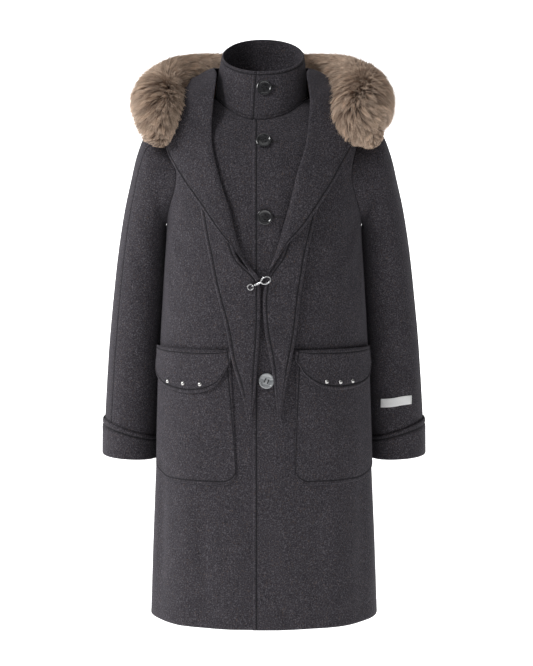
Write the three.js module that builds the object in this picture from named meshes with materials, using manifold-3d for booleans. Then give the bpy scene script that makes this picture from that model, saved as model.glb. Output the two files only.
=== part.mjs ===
// A knee-length wool overcoat, buttoned, as it hangs on a wearer: stand collar,
// large hood lying down with a fur edge and long pointed hood ends, two patch
// pockets with studded flaps, and turned-up cuffs. Millimetres, +Z up, the front
// faces -Y, the wearer's left is +X. The origin is at the base of the neck.
import * as THREE from 'three';
import { mergeVertices } from 'three/addons/utils/BufferGeometryUtils.js';
import Module from 'manifold-3d';

const wasm = await Module();
wasm.setup();

// Cloth sizes
const WALL = 2.5;            // heavy melton wool
const SEAM = 0.3;            // distance between sewn pieces
const STEP = WALL + SEAM;    // rise of one layer on another
const NECK_LEVEL = 0;
const SHOULDER_LEVEL = -52;
const ARMPIT_LEVEL = -240;
const HEM_LEVEL = -1000;
const FRONT_EDGE_X = -20;    // free edge of the wearer's left front
const UNDERLAP_X = 19;       // hidden edge of the wearer's right front
const ARMHOLE_FRONT_CUT = 30;
const ARMHOLE_BACK_CUT = 24;
const SLEEVE_AWAY = 1.5;     // in x, about 0.3 mm square to the slanted seam

// Girth sections of the coat, from the hem to the neckline
const GIRTHS = [
  { level: -1000, half: 222, front: 160, back: 152, drop: 0, rise: 0, square: 2.4, shift: 0 },
  { level: -860, half: 216, front: 158, back: 149, drop: 0, rise: 0, square: 2.4, shift: 0 },
  { level: -720, half: 210, front: 156, back: 146, drop: 0, rise: 0, square: 2.4, shift: 0 },
  { level: -600, half: 206, front: 153, back: 142, drop: 0, rise: 0, square: 2.4, shift: 0 },
  { level: -480, half: 202, front: 150, back: 139, drop: 0, rise: 0, square: 2.4, shift: 0 },
  { level: -360, half: 195, front: 146, back: 136, drop: 0, rise: 0, square: 2.4, shift: 0 },
  { level: -240, half: 188, front: 141, back: 132, drop: 0, rise: 0, square: 2.4, shift: 0 },
  { level: -150, half: 187, front: 135, back: 131, drop: -12, rise: 4, square: 2.4, shift: 0 },
  { level: -90, half: 187, front: 127, back: 124, drop: -26, rise: 12, square: 2.35, shift: 0 },
  { level: -52, half: 183, front: 117, back: 113, drop: -38, rise: 18, square: 2.3, shift: -1 },
  { level: -25, half: 140, front: 103, back: 97, drop: -44, rise: 23, square: 2.2, shift: -3 },
  { level: 0, half: 88, front: 88, back: 78, drop: -47, rise: 26, square: 2.1, shift: -5 },
];
const CLOTH_ROWS = [-1000, -920, -840, -760, -680, -600, -520, -440, -360, -300, -240,
  -210, -180, -150, -120, -90, -70, -58, -52, -42, -30, -15, 0];

// Stand collar
const COLLAR = { half: 78.5, front: 66, back: 64, shift: -1.5, sideTop: 81, frontDrop: 36, backRise: 36 };

// Sleeve sections, wearer's left: outer and inner point, half depth, centre in y
const SLEEVE = [
  { ox: 222, oz: -62, ix: 190.8, iz: -244, deep: 74, y: 7 },
  { ox: 244, oz: -105, ix: 191.5, iz: -255, deep: 76, y: 13 },
  { ox: 259.5, oz: -165, ix: 192, iz: -280, deep: 77, y: 21 },
  { ox: 272, oz: -220, ix: 193, iz: -320, deep: 77, y: 28 },
  { ox: 285, oz: -300, ix: 195.8, iz: -382, deep: 76, y: 34 },
  { ox: 296, oz: -390, ix: 200.6, iz: -465, deep: 74, y: 39 },
  { ox: 305, oz: -475, ix: 204.8, iz: -556, deep: 72, y: 42 },
  { ox: 312.5, oz: -580, ix: 210.4, iz: -634, deep: 71, y: 44 },
  { ox: 315.5, oz: -640, ix: 212.4, iz: -670, deep: 70, y: 44 },
  { ox: 315.5, oz: -692, ix: 213.4, iz: -699, deep: 70, y: 44 },
];
const SLEEVE_SQUARE = 2.2;

// Hood stations from the clasp (0) over the shoulder to the centre back (12):
// roll is the line beside the neck, edge the free edge under the fur
const FRONT_STATIONS = 5;
const HOOD_RIGHT = [
  { roll: [-7, -340], edge: [-12, -347] },
  { roll: [-34, -306], edge: [-46, -296] },
  { roll: [-49, -266], edge: [-82, -251] },
  { roll: [-62, -214], edge: [-113, -206] },
  { roll: [-78, -165], edge: [-144, -159] },
  { roll: [-93, -105], edge: [-167, -116] },
  { roll: [-98, -104, -62], edge: [-182, -68, -82], puff: 14, hang: 0 },
  { roll: [-95, -84, -8], edge: [-181, -52, -28], puff: 8, hang: 0 },
  { roll: [-91, -38, 44], edge: [-176, -4, 4], puff: 8, hang: 6 },
  { roll: [-95, 10, 58], edge: [-158, 54, 32], puff: 66, hang: 44 },
  { roll: [-72, 57, 60], edge: [-108, 100, 42], puff: 118, hang: 188 },
  { roll: [-36, 82, 58], edge: [-54, 122, 46], puff: 100, hang: 262 },
  { roll: [-0.25, 89, 56], edge: [-0.25, 129, 47], puff: 88, hang: 285 },
];
const HOOD_LEFT = [
  { roll: [5, -333], edge: [1, -341] },
  { roll: [22, -292], edge: [37, -284] },
  { roll: [36, -243], edge: [72, -245] },
  { roll: [48, -200], edge: [100, -203] },
  { roll: [60, -150], edge: [128, -157] },
  { roll: [75, -103], edge: [152, -108] },
  { roll: [83, -104, -60], edge: [174, -74, -70], puff: 14, hang: 0 },
  { roll: [87, -84, -8], edge: [180, -52, -24], puff: 8, hang: 0 },
  { roll: [82, -38, 44], edge: [178, -4, 4], puff: 8, hang: 6 },
  { roll: [84, 10, 58], edge: [158, 54, 32], puff: 66, hang: 44 },
  { roll: [62, 57, 60], edge: [108, 100, 42], puff: 118, hang: 188 },
  { roll: [28, 82, 58], edge: [54, 122, 46], puff: 100, hang: 262 },
  { roll: [0.25, 89, 56], edge: [0.25, 129, 47], puff: 88, hang: 285 },
];

// Pointed hood ends under the roll, from the tip upward: inner and outer edge
const TAIL_RIGHT = [
  { z: -608, inner: -26, outer: -29 },
  { z: -580, inner: -20, outer: -33 },
  { z: -540, inner: -15, outer: -44 },
  { z: -490, inner: -11.5, outer: -58.5 },
  { z: -435, inner: -8, outer: -68 },
  { z: -380, inner: -7, outer: -82 },
  { z: -345, inner: -10, outer: -91 },
  { z: -306, inner: -37, outer: -98 },
  { z: -266, inner: -51, outer: -106 },
  { z: -214, inner: -64, outer: -115 },
  { z: -165, inner: -80, outer: -124 },
  { z: -105, inner: -95, outer: -134 },
];
const TAIL_LEFT = [
  { z: -598, inner: 26, outer: 29.5 },
  { z: -570, inner: 23, outer: 34.5 },
  { z: -530, inner: 18.5, outer: 42 },
  { z: -480, inner: 10, outer: 52 },
  { z: -431, inner: 1.5, outer: 60 },
  { z: -375, inner: -1, outer: 66 },
  { z: -335, inner: 7, outer: 72 },
  { z: -292, inner: 25, outer: 79 },
  { z: -243, inner: 39, outer: 90 },
  { z: -200, inner: 51, outer: 100 },
  { z: -150, inner: 63, outer: 112 },
  { z: -103, inner: 78, outer: 120 },
];

// Fur along the hood edge: centre line and radius, wearer's right end to left end
const FUR = [
  { at: [-201, -84, -96], r: 9 },
  { at: [-200, -84, -88], r: 24 },
  { at: [-201, -79, -60], r: 42 },
  { at: [-201, -54, -20], r: 54 },
  { at: [-200, -7, 3], r: 54 },
  { at: [-172, 45, 28], r: 55 },
  { at: [-120, 98, 44], r: 50 },
  { at: [-60, 124, 50], r: 46 },
  { at: [0, 132, 50], r: 45 },
  { at: [60, 124, 50], r: 46 },
  { at: [116, 98, 43], r: 51 },
  { at: [158, 45, 24], r: 62 },
  { at: [184, -9, 0], r: 66 },
  { at: [183, -57, -26], r: 66 },
  { at: [185, -82, -54], r: 56 },
  { at: [200, -88, -82], r: 32 },
  { at: [206, -84, -96], r: 10 },
];

// Patch pockets and flaps
const POCKET_RIGHT = { left: -200, right: -62, lowerLeft: -203, lowerRight: -50, top: -480, bottom: -726, corner: 27 };
const POCKET_LEFT = { left: 60, right: 200, lowerLeft: 58, lowerRight: 204, top: -480, bottom: -726, corner: 27 };
const POCKET_PUFF = 1.2;
const LAY = 0.3;             // patches lie this much freer than a seam
const FLAP_TOP = -474;
const FLAP_RISE = STEP + LAY + POCKET_PUFF + STEP + 0.2;
const FLAP_RIGHT = [
  { x: -196, z: -510 }, { x: -192, z: -532 }, { x: -176, z: -549 }, { x: -143, z: -555 },
  { x: -111, z: -551 }, { x: -86, z: -537 }, { x: -71, z: -513 }, { x: -60, z: -492 },
];
const FLAP_LEFT = [
  { x: 58, z: -490 }, { x: 64, z: -500 }, { x: 77, z: -521 }, { x: 105, z: -542 },
  { x: 143, z: -549 }, { x: 180, z: -543 }, { x: 193, z: -529 }, { x: 197, z: -506 },
];
const STUDS = [
  { x: -175, z: -537 }, { x: -147, z: -538 }, { x: -116, z: -538 },
  { x: 114, z: -533 }, { x: 139, z: -535 }, { x: 161, z: -535 },
];
const STUD_RADIUS = 4;

// Buttons
const BUTTON = { radius: 14.5, thick: 4, rim: 3 };
const FRONT_BUTTONS = [{ x: 0, z: -88 }, { x: 2, z: -227 }, { x: 5, z: -530 }];
const COLLAR_BUTTON_Z = 17;

// Snap hook at the hood points
const CLASP = { wire: 1.3, ringWire: 1, ringRadius: 5.2, eyeRadius: 2.6, loopLong: 9, loopShort: 6.2 };

const CLOTH = new THREE.MeshStandardMaterial({ color: '#3d3b41', roughness: 0.95, metalness: 0 });
const FUR_PILE = new THREE.MeshStandardMaterial({ color: '#705d50', roughness: 0.9, metalness: 0 });
const HORN = new THREE.MeshStandardMaterial({ color: '#26282b', roughness: 0.3, metalness: 0 });
const GREY_HORN = new THREE.MeshStandardMaterial({ color: '#6a6e72', roughness: 0.35, metalness: 0 });
const STEEL = new THREE.MeshStandardMaterial({ color: '#b9bcc0', roughness: 0.25, metalness: 1 });
const LABEL = new THREE.MeshStandardMaterial({ color: '#f2f2f2', roughness: 0.85, metalness: 0 });

const coat = new THREE.Group();
const clamp = (v, a, b) => Math.min(b, Math.max(a, v));
const mix = (a, b, t) => a + (b - a) * t;
const smooth = (a, b, v) => { const t = clamp((v - a) / (b - a), 0, 1); return t * t * (3 - 2 * t); };
const rad = (d) => d * Math.PI / 180;

// Monotone cubic through a table's column, so that girths never overshoot
function column(rows, key, name, v) {
  const n = rows.length;
  let k = 0;
  while (k < n - 2 && v > rows[k + 1][key]) k++;
  const d = (i) => rows[i + 1][key] - rows[i][key];
  const s = (i) => (rows[i + 1][name] - rows[i][name]) / d(i);
  const m = (i) => {
    if (i === 0) return s(0);
    if (i === n - 1) return s(n - 2);
    if (s(i - 1) * s(i) <= 0) return 0;
    const w1 = 2 * d(i) + d(i - 1), w2 = d(i) + 2 * d(i - 1);
    return (w1 + w2) / (w1 / s(i - 1) + w2 / s(i));
  };
  const t = clamp((v - rows[k][key]) / d(k), 0, 1), t2 = t * t, t3 = t2 * t;
  return (2 * t3 - 3 * t2 + 1) * rows[k][name] + (t3 - 2 * t2 + t) * d(k) * m(k)
    + (3 * t2 - 2 * t3) * rows[k + 1][name] + (t3 - t2) * d(k) * m(k + 1);
}

// Cubic through equally spaced values
function along(values, u) {
  const n = values.length, k = clamp(Math.floor(u), 0, n - 2), t = u - k;
  const v = (i) => values[clamp(i, 0, n - 1)];
  const m0 = (v(k + 1) - v(k - 1)) / 2, m1 = (v(k + 2) - v(k)) / 2;
  const t2 = t * t, t3 = t2 * t;
  return (2 * t3 - 3 * t2 + 1) * v(k) + (t3 - 2 * t2 + t) * m0 + (3 * t2 - 2 * t3) * v(k + 1) + (t3 - t2) * m1;
}

const signedPower = (v, p) => Math.sign(v) * Math.abs(v) ** p;

// Point of the coat's outer form: angle from the centre front towards +X, and level
function form(angle, level) {
  const g = (name) => column(GIRTHS, 'level', name, level);
  const a = rad(angle), s = Math.sin(a), c = Math.cos(a), p = 2 / g('square');
  const deep = c > 0 ? g('front') : g('back');
  const lean = c > 0 ? g('drop') : g('rise');
  return new THREE.Vector3(g('shift') + g('half') * signedPower(s, p), -deep * signedPower(c, p), level + lean * c * c);
}

// Angle and level of the front at a given x and z
function frontSpot(x, z) {
  let level = Math.min(z, -1), s = 0;
  for (let i = 0; i < 30; i++) {
    const half = column(GIRTHS, 'level', 'half', level), square = column(GIRTHS, 'level', 'square', level);
    const dx = x - column(GIRTHS, 'level', 'shift', level);
    s = Math.sign(dx) * Math.min(1, Math.abs(dx) / half) ** (square / 2);
    level = 0.5 * level + 0.5 * Math.min(z - column(GIRTHS, 'level', 'drop', level) * (1 - s * s), 0);
  }
  return [Math.asin(clamp(s, -1, 1)) * 180 / Math.PI, level];
}

function slopeNormal(surface, u, v, eu, ev, lowU, highU, lowV, highV) {
  const a = surface(clamp(u + eu, lowU, highU), v).sub(surface(clamp(u - eu, lowU, highU), v));
  const b = surface(u, clamp(v + ev, lowV, highV)).sub(surface(u, clamp(v - ev, lowV, highV)));
  return a.cross(b).normalize();
}

const formNormal = (angle, level) => slopeNormal(form, angle, level, 0.4, 2, -1e4, 1e4, HEM_LEVEL, NECK_LEVEL);

function onFront(x, z, lift) {
  const [angle, level] = frontSpot(x, z);
  return form(angle, level).addScaledVector(formNormal(angle, level), lift);
}

// Closed wall between an outer surface and the same surface moved in
function wallGeometry(nu, nv, outer, inner, ring = false) {
  const points = [], faces = [];
  const cols = ring ? nu : nu + 1, per = cols * (nv + 1);
  for (const layer of [outer, inner])
    for (let j = 0; j <= nv; j++) for (let i = 0; i < cols; i++) points.push(layer(i / nu, j / nv));
  const at = (i, j, l) => l * per + j * cols + (ring ? i % nu : i);
  const quad = (a, b, c, d) => faces.push(a, b, c, a, c, d);
  for (let j = 0; j < nv; j++) for (let i = 0; i < nu; i++) {
    quad(at(i, j, 0), at(i + 1, j, 0), at(i + 1, j + 1, 0), at(i, j + 1, 0));
    quad(at(i, j, 1), at(i, j + 1, 1), at(i + 1, j + 1, 1), at(i + 1, j, 1));
  }
  for (let i = 0; i < nu; i++) {
    quad(at(i, 0, 0), at(i, 0, 1), at(i + 1, 0, 1), at(i + 1, 0, 0));
    quad(at(i, nv, 0), at(i + 1, nv, 0), at(i + 1, nv, 1), at(i, nv, 1));
  }
  if (!ring) for (let j = 0; j < nv; j++) {
    quad(at(0, j, 0), at(0, j + 1, 0), at(0, j + 1, 1), at(0, j, 1));
    quad(at(nu, j, 0), at(nu, j, 1), at(nu, j + 1, 1), at(nu, j + 1, 0));
  }
  return solidGeometry(points, faces);
}

function solidGeometry(points, faces) {
  let volume = 0;
  for (let k = 0; k < faces.length; k += 3)
    volume += points[faces[k]].dot(points[faces[k + 1]].clone().cross(points[faces[k + 2]]));
  if (volume < 0) for (let k = 0; k < faces.length; k += 3) [faces[k + 1], faces[k + 2]] = [faces[k + 2], faces[k + 1]];
  const geometry = new THREE.BufferGeometry();
  geometry.setAttribute('position', new THREE.Float32BufferAttribute(points.flatMap((p) => [p.x, p.y, p.z]), 3));
  geometry.setIndex(faces);
  geometry.computeVertexNormals();
  return geometry;
}

// Wall from a surface over 0..1 by 0..1; facing is +1 or -1 for the cross product
function cloth(nu, nv, surface, facing, ring = false, wall = WALL) {
  const inner = (u, v) => surface(u, v).addScaledVector(
    slopeNormal(surface, u, v, 2e-3, 2e-3, ring ? -9 : 0, ring ? 9 : 1, 0, 1), -wall * facing);
  return wallGeometry(nu, nv, surface, inner, ring);
}

function add(name, geometry, material) {
  const mesh = new THREE.Mesh(geometry, material);
  mesh.name = name;
  coat.add(mesh);
  return mesh;
}

// Row position 0..1 to a level of the cloth rows
function rowLevel(v) {
  const k = v * (CLOTH_ROWS.length - 1), i = Math.min(Math.floor(k), CLOTH_ROWS.length - 2);
  return mix(CLOTH_ROWS[i], CLOTH_ROWS[i + 1], k - i);
}
const NV = CLOTH_ROWS.length - 1;

// The armhole bites into the panels between the armpit and the shoulder point
function armholeCut(level, cut) {
  const t = clamp((level - ARMPIT_LEVEL) / (SHOULDER_LEVEL - ARMPIT_LEVEL), 0, 1);
  return cut * Math.sin(Math.PI * t) ** 0.8;
}
const SEAM_ANGLE = 0.02;
const overlapRise = (x) => STEP * (1 - smooth(24, 52, x));

const FRONT_COLUMNS = 11;
const levelAngle = (x, level) => frontSpot(x, level + column(GIRTHS, 'level', 'drop', level))[0];
// The two fronts share their columns where they overlap, so that they lie parallel
function bodyPanel(side, lifted) {
  const point = (u, v, lift0 = 0) => {
    const level = rowLevel(v), k = Math.round(u * FRONT_COLUMNS);
    const lap = side < 0 ? [UNDERLAP_X, 0, FRONT_EDGE_X] : [FRONT_EDGE_X, 0, UNDERLAP_X];
    const end = side * (90 - armholeCut(level, ARMHOLE_FRONT_CUT) - SEAM_ANGLE);
    const angle = k < 2 ? levelAngle(lap[k], level) : mix(levelAngle(lap[2], level), end, (k - 2) / (FRONT_COLUMNS - 2));
    const p = form(angle, level);
    const lift = (lifted ? overlapRise(p.x) : 0) + lift0;
    return p.addScaledVector(formNormal(angle, level), lift);
  };
  return wallGeometry(FRONT_COLUMNS, NV, (u, v) => point(u, v), (u, v) => point(u, v, -WALL));
}
add('front_right', bodyPanel(-1, false), CLOTH);
add('front_left', bodyPanel(1, true), CLOTH);

function backPanel(u, v, lift = 0) {
  const level = rowLevel(v), cut = armholeCut(level, ARMHOLE_BACK_CUT) + SEAM_ANGLE;
  const angle = mix(90 + cut, 270 - cut, u);
  return form(angle, level).addScaledVector(formNormal(angle, level), lift);
}
add('back', wallGeometry(14, NV, (u, v) => backPanel(u, v), (u, v) => backPanel(u, v, -WALL)), CLOTH);

// Collar: one turn and the front overlap, from the underlap round to the front edge
function collarPoint(angle, v, lift, rise = 0) {
  const base = form(angle, NECK_LEVEL), a = rad(angle), s = Math.sin(a), c = Math.cos(a), p = 2 / 2.1;
  const deep = c > 0 ? COLLAR.front : COLLAR.back;
  const rim = new THREE.Vector3(COLLAR.shift + (COLLAR.half) * signedPower(s, p), -deep * signedPower(c, p),
    COLLAR.sideTop - (c > 0 ? COLLAR.frontDrop : COLLAR.backRise) * c);
  base.z += 0.6 + 0.62 * rise;
  const out = new THREE.Vector3(s, -c, 0);
  return base.lerp(rim, v).addScaledVector(out, rise + lift + 1.8 * Math.sin(Math.PI * clamp(v, 0, 1)));
}
const COLLAR_LAP = 12.5, COLLAR_COLUMNS = 34;
function collarSurface(u, v, lift = 0) {
  const k = Math.round(u * COLLAR_COLUMNS), last = COLLAR_COLUMNS;
  const angle = k < 2 ? COLLAR_LAP * (1 - k) : k > last - 2 ? -360 - COLLAR_LAP * (k - last + 1)
    : mix(-COLLAR_LAP, COLLAR_LAP - 360, (k - 2) / (last - 4));
  const p = collarPoint(angle, v, 0);
  const rise = angle < -270 ? overlapRise(p.x) : 0;
  return collarPoint(angle, v, lift, rise);
}
add('collar', wallGeometry(COLLAR_COLUMNS, 3, (u, v) => collarSurface(u, v), (u, v) => collarSurface(u, v, -WALL)), CLOTH);

// Sleeves: angle 0 at the outer line, 90 at the front, 180 under the arm
// The seam follows the panels' own straight edges between their rows
function armholeAt(turn) {
  const level = mix(SHOULDER_LEVEL, ARMPIT_LEVEL, (1 - Math.cos(rad(turn))) / 2);
  const front = Math.sin(rad(turn)) >= 0;
  const angleOf = (l) => (front ? 90 - armholeCut(l, ARMHOLE_FRONT_CUT) : 90 + armholeCut(l, ARMHOLE_BACK_CUT));
  let k = 0;
  while (k < CLOTH_ROWS.length - 2 && level > CLOTH_ROWS[k + 1]) k++;
  const low = CLOTH_ROWS[k], high = CLOTH_ROWS[k + 1], t = (level - low) / (high - low);
  const normal = formNormal(angleOf(low), low).lerp(formNormal(angleOf(high), high), t).normalize();
  return { point: form(angleOf(low), low).lerp(form(angleOf(high), high), t), normal };
}
const armhole = (turn) => armholeAt(turn).point.add(new THREE.Vector3(SLEEVE_AWAY, 0, 0));
function sleeveRing(row, turn) {
  if (row < 0) return armhole(turn);
  const r = SLEEVE[row], p = 2 / SLEEVE_SQUARE, a = rad(turn);
  const o = new THREE.Vector3(r.ox, r.y, r.oz), i = new THREE.Vector3(r.ix, r.y, r.iz);
  const centre = o.clone().add(i).multiplyScalar(0.5), half = o.clone().sub(i).multiplyScalar(0.5);
  return centre.addScaledVector(half, signedPower(Math.cos(a), p))
    .add(new THREE.Vector3(0, -r.deep * signedPower(Math.sin(a), p), 0));
}
function sleevePoint(turn, v) {
  const u = v * SLEEVE.length, rings = [];
  const k = clamp(Math.floor(u), 0, SLEEVE.length - 1);
  for (let j = k - 1; j <= k + 2; j++) rings.push(sleeveRing(clamp(j, 0, SLEEVE.length) - 1, turn));
  const one = (name) => along(rings.map((r) => r[name]), 1 + u - k);
  return new THREE.Vector3(one('x'), one('y'), one('z'));
}
const sleeveNormal = (turn, v) => slopeNormal(sleevePoint, turn, v, 1, 0.01, -1e4, 1e4, 0, 1);
const mirror = (p, side) => { p.x *= side; return p; };
const SLEEVE_SEAM_RIGHT = 50, SLEEVE_SEAM_LEFT = 22, SLEEVE_GAP = 0.2, UNDERARM_GAP = 0.7;
const SLEEVE_ROWS = 12;
// More rows near the armhole
const sleeveRow = (v) => v ** 1.15;

function sleeveHalf(from, to, side) {
  const point = (u, v, lift) => {
    const under = v < 0.1 ? UNDERARM_GAP : SLEEVE_GAP;
    const turn = mix(from + (from === 180 ? under : SLEEVE_GAP), to - (to === 180 ? under : SLEEVE_GAP), u), w = sleeveRow(v);
    const p = sleevePoint(turn, w), n = sleeveNormal(turn, w);
    // At the armhole the two rims share one direction
    if (v === 0) {
      const body = armholeAt(turn).normal.multiplyScalar(sleeveFacing);
      n.multiplyScalar(0.35).addScaledVector(body, smooth(30, 60, Math.abs(turn % 360 - 180))).normalize();
    }
    if (Math.abs(turn - 180) < 1.5) n.setY(0).normalize();
    if (v === 0) p.y += Math.sign(turn - 180) * 1.5 * (1 - smooth(0, 40, Math.abs(turn - 180)));
    return mirror(p.addScaledVector(n, lift), side);
  };
  const sign = -1;
  return wallGeometry(9, SLEEVE_ROWS, (u, v) => point(u, v, 0), (u, v) => point(u, v, WALL * sign * sleeveFacing));
}
const sleeveFacing = Math.sign(sleeveNormal(0, 0.5).x);
for (const [name, seam, side] of [['right', SLEEVE_SEAM_RIGHT, -1], ['left', SLEEVE_SEAM_LEFT, 1]]) {
  add(`sleeve_${name}_front`, sleeveHalf(seam, 180, side), CLOTH);
  add(`sleeve_${name}_back`, sleeveHalf(180, 360 + seam, side), CLOTH);
}

// Turned-up cuffs round the sleeve ends
function cuffPoint(turn, v, lift) {
  const row = mix(1.004, 0.868, v);
  const p = sleevePoint(turn, clamp(row, 0, 1)).addScaledVector(sleeveNormal(turn, clamp(row, 0, 1)), sleeveFacing * lift);
  p.z -= Math.max(0, row - 1) * 600;
  return p;
}
for (const [name, side] of [['right', -1], ['left', 1]]) {
  const layer = (extra) => (u, v) => mirror(cuffPoint(360 * u, v, 0.95 + extra + 1.5 * (1 - v)), side);
  add(`cuff_${name}`, wallGeometry(22, 2, layer(WALL), layer(0), true), CLOTH);
}

// Hood ends, lying on the fronts
const tailRise = (x) => 11.5 - 5 * smooth(40, 120, Math.abs(x));
function tailPoint(rows, u, v, drop) {
  const k = v * (rows.length - 1);
  const z = along(rows.map((r) => r.z), k);
  const x = mix(along(rows.map((r) => r.inner), k), along(rows.map((r) => r.outer), k), u);
  return onFront(x, z, tailRise(x) - drop);
}
for (const [name, rows] of [['right', TAIL_RIGHT], ['left', TAIL_LEFT]])
  add(`hood_tail_${name}`, wallGeometry(5, 18, (u, v) => tailPoint(rows, u, v, 0), (u, v) => tailPoint(rows, u, v, WALL)), CLOTH);

// Hood halves
function hoodSurface(rows, side) {
  const low = rows.slice(0, FRONT_STATIONS + 2).map((r) => r.roll.length === 2 ? r
    : { roll: [r.roll[0], r.roll[2]], edge: [r.edge[0], r.edge[2]] });
  const lapelRise = (x, across, u) => tailRise(x) + STEP + 0.4 + 4.5 * smooth(0, 1, across) * smooth(0, 2, u);
  const high = rows.map((r) => {
    if (r.roll.length === 3) return r;
    const a = onFront(r.roll[0], r.roll[1], lapelRise(r.roll[0], 0, 5));
    const b = onFront(r.edge[0], r.edge[1], lapelRise(r.edge[0], 1, 5));
    return { roll: a.toArray(), edge: b.toArray(), puff: 8, hang: 0 };
  });
  const value = (table, name, axis, u) => along(table.map((r) => axis === null ? r[name] : r[name][axis]), u);
  return (t, w) => {
    const u = w * (rows.length - 1);
    const space = new THREE.Vector3();
    if (u > FRONT_STATIONS - 1) {
      const roll = new THREE.Vector3(...[0, 1, 2].map((k) => value(high, 'roll', k, u)));
      const edge = new THREE.Vector3(...[0, 1, 2].map((k) => value(high, 'edge', k, u)));
      const turn = smooth(5, 12, u) * 125 - 35;
      const out = new THREE.Vector3(side * Math.cos(rad(turn)), Math.sin(rad(turn)), 0);
      const over = smooth(6, 7.5, u) * (1 - smooth(8, 9.5, u));
      out.z = 0.9 * over;
      out.normalize();
      const wave = Math.sin(Math.PI * clamp(t, 0, 1));
      const puff = value(high, 'puff', null, u), hang = value(high, 'hang', null, u);
      space.copy(roll).lerp(edge, t).addScaledVector(out, puff * wave ** 0.65 * (0.45 + 0.8 * t));
      space.z -= hang * wave ** 1.3;
    }
    if (u >= FRONT_STATIONS + 1) return space;
    const rx = value(low, 'roll', 0, u), rz = value(low, 'roll', 1, u);
    const ex = value(low, 'edge', 0, u), ez = value(low, 'edge', 1, u);
    const x = mix(rx, ex, t);
    const flat = onFront(x, mix(rz, ez, t), lapelRise(x, t, u));
    return flat.lerp(space, smooth(FRONT_STATIONS - 0.6, FRONT_STATIONS + 1, u));
  };
}
const HOOD_COLUMNS = 25, HOOD_ROWS = 11;
const hoodFacing = {};
for (const [name, rows, side] of [['right', HOOD_RIGHT, -1], ['left', HOOD_LEFT, 1]]) {
  const surface = hoodSurface(rows, side);
  hoodFacing[name] = Math.sign(-slopeNormal(surface, 0.5, 0.25, 2e-3, 2e-3, 0, 1, 0, 1).y);
  add(`hood_${name}`, cloth(HOOD_ROWS, HOOD_COLUMNS, surface, hoodFacing[name]), CLOTH);
}

// Patch pockets
for (const [name, k] of [['right', POCKET_RIGHT], ['left', POCKET_LEFT]]) {
  const point = (u, v, drop) => {
    const s = 0.5 - 0.5 * Math.cos(Math.PI * u);
    const atTop = mix(k.left, k.right, s), atBottom = mix(k.lowerLeft, k.lowerRight, s);
    const side = Math.min(s, 1 - s) * (k.lowerRight - k.lowerLeft);
    const d = Math.max(0, k.corner - side);
    const low = k.bottom + k.corner - Math.sqrt(Math.max(0, k.corner ** 2 - d ** 2));
    const z = mix(low, k.top, v);
    const x = mix(atBottom, atTop, (z - k.bottom) / (k.top - k.bottom));
    const lift = STEP + LAY + POCKET_PUFF * Math.sin(Math.PI * s) * Math.sin(Math.PI * v);
    return onFront(x, z, lift - drop);
  };
  add(`pocket_${name}`, wallGeometry(13, 6, (u, v) => point(u, v, 0), (u, v) => point(u, v, WALL)), CLOTH);
}

// Pocket flaps
for (const [name, rows] of [['right', FLAP_RIGHT], ['left', FLAP_LEFT]]) {
  const point = (u, v, drop) => {
    const k = u * (rows.length - 1);
    const x = along(rows.map((r) => r.x), k), low = along(rows.map((r) => r.z), k);
    return onFront(x, mix(low, FLAP_TOP, v), FLAP_RISE - drop);
  };
  add(`flap_${name}`, wallGeometry(18, 3, (u, v) => point(u, v, 0), (u, v) => point(u, v, WALL)), CLOTH);
}

// A turned piece standing on a surface point, its axis along the normal
function stand(name, geometry, material, place, normal) {
  const mesh = add(name, geometry, material);
  mesh.position.copy(place);
  mesh.quaternion.setFromUnitVectors(new THREE.Vector3(0, 1, 0), normal);
  return mesh;
}
const lathe = (profile, sides) => {
  const g = new THREE.LatheGeometry(profile.map(([r, y]) => new THREE.Vector2(r, y)), sides);
  g.deleteAttribute('normal');
  g.deleteAttribute('uv');
  const merged = mergeVertices(g, 1e-4);
  merged.computeVertexNormals();
  return merged;
};
const frontNormal = (x, z) => formNormal(...frontSpot(x, z));

STUDS.forEach(({ x, z }, i) => {
  const dome = lathe([[0, 0], [STUD_RADIUS, 0], [STUD_RADIUS * 0.98, 0.8], [STUD_RADIUS * 0.62, 2.2], [0, 2.8]], 10);
  stand(`stud_${i + 1}`, dome, STEEL, onFront(x, z, FLAP_RISE + 0.2), frontNormal(x, z));
});

const buttonShape = () => {
  const { radius: r, thick: t, rim } = BUTTON;
  return lathe([[0, 0], [r * 0.72, 0], [r, t * 0.45], [r * 0.97, t * 0.85], [r - rim * 0.6, t], [r - rim, t * 0.72], [0, t * 0.6]], 18);
};
const collarSpot = collarPoint(0, 0.66, STEP + 1);
collarSpot.x = 1;
stand('button_1', buttonShape(), HORN, collarSpot, new THREE.Vector3(0, -1, 0.2).normalize());
FRONT_BUTTONS.forEach(({ x, z }, i) => {
  stand(`button_${i + 2}`, buttonShape(), i === 2 ? GREY_HORN : HORN, onFront(x, z, STEP + 0.35), frontNormal(x, z));
});

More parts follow.
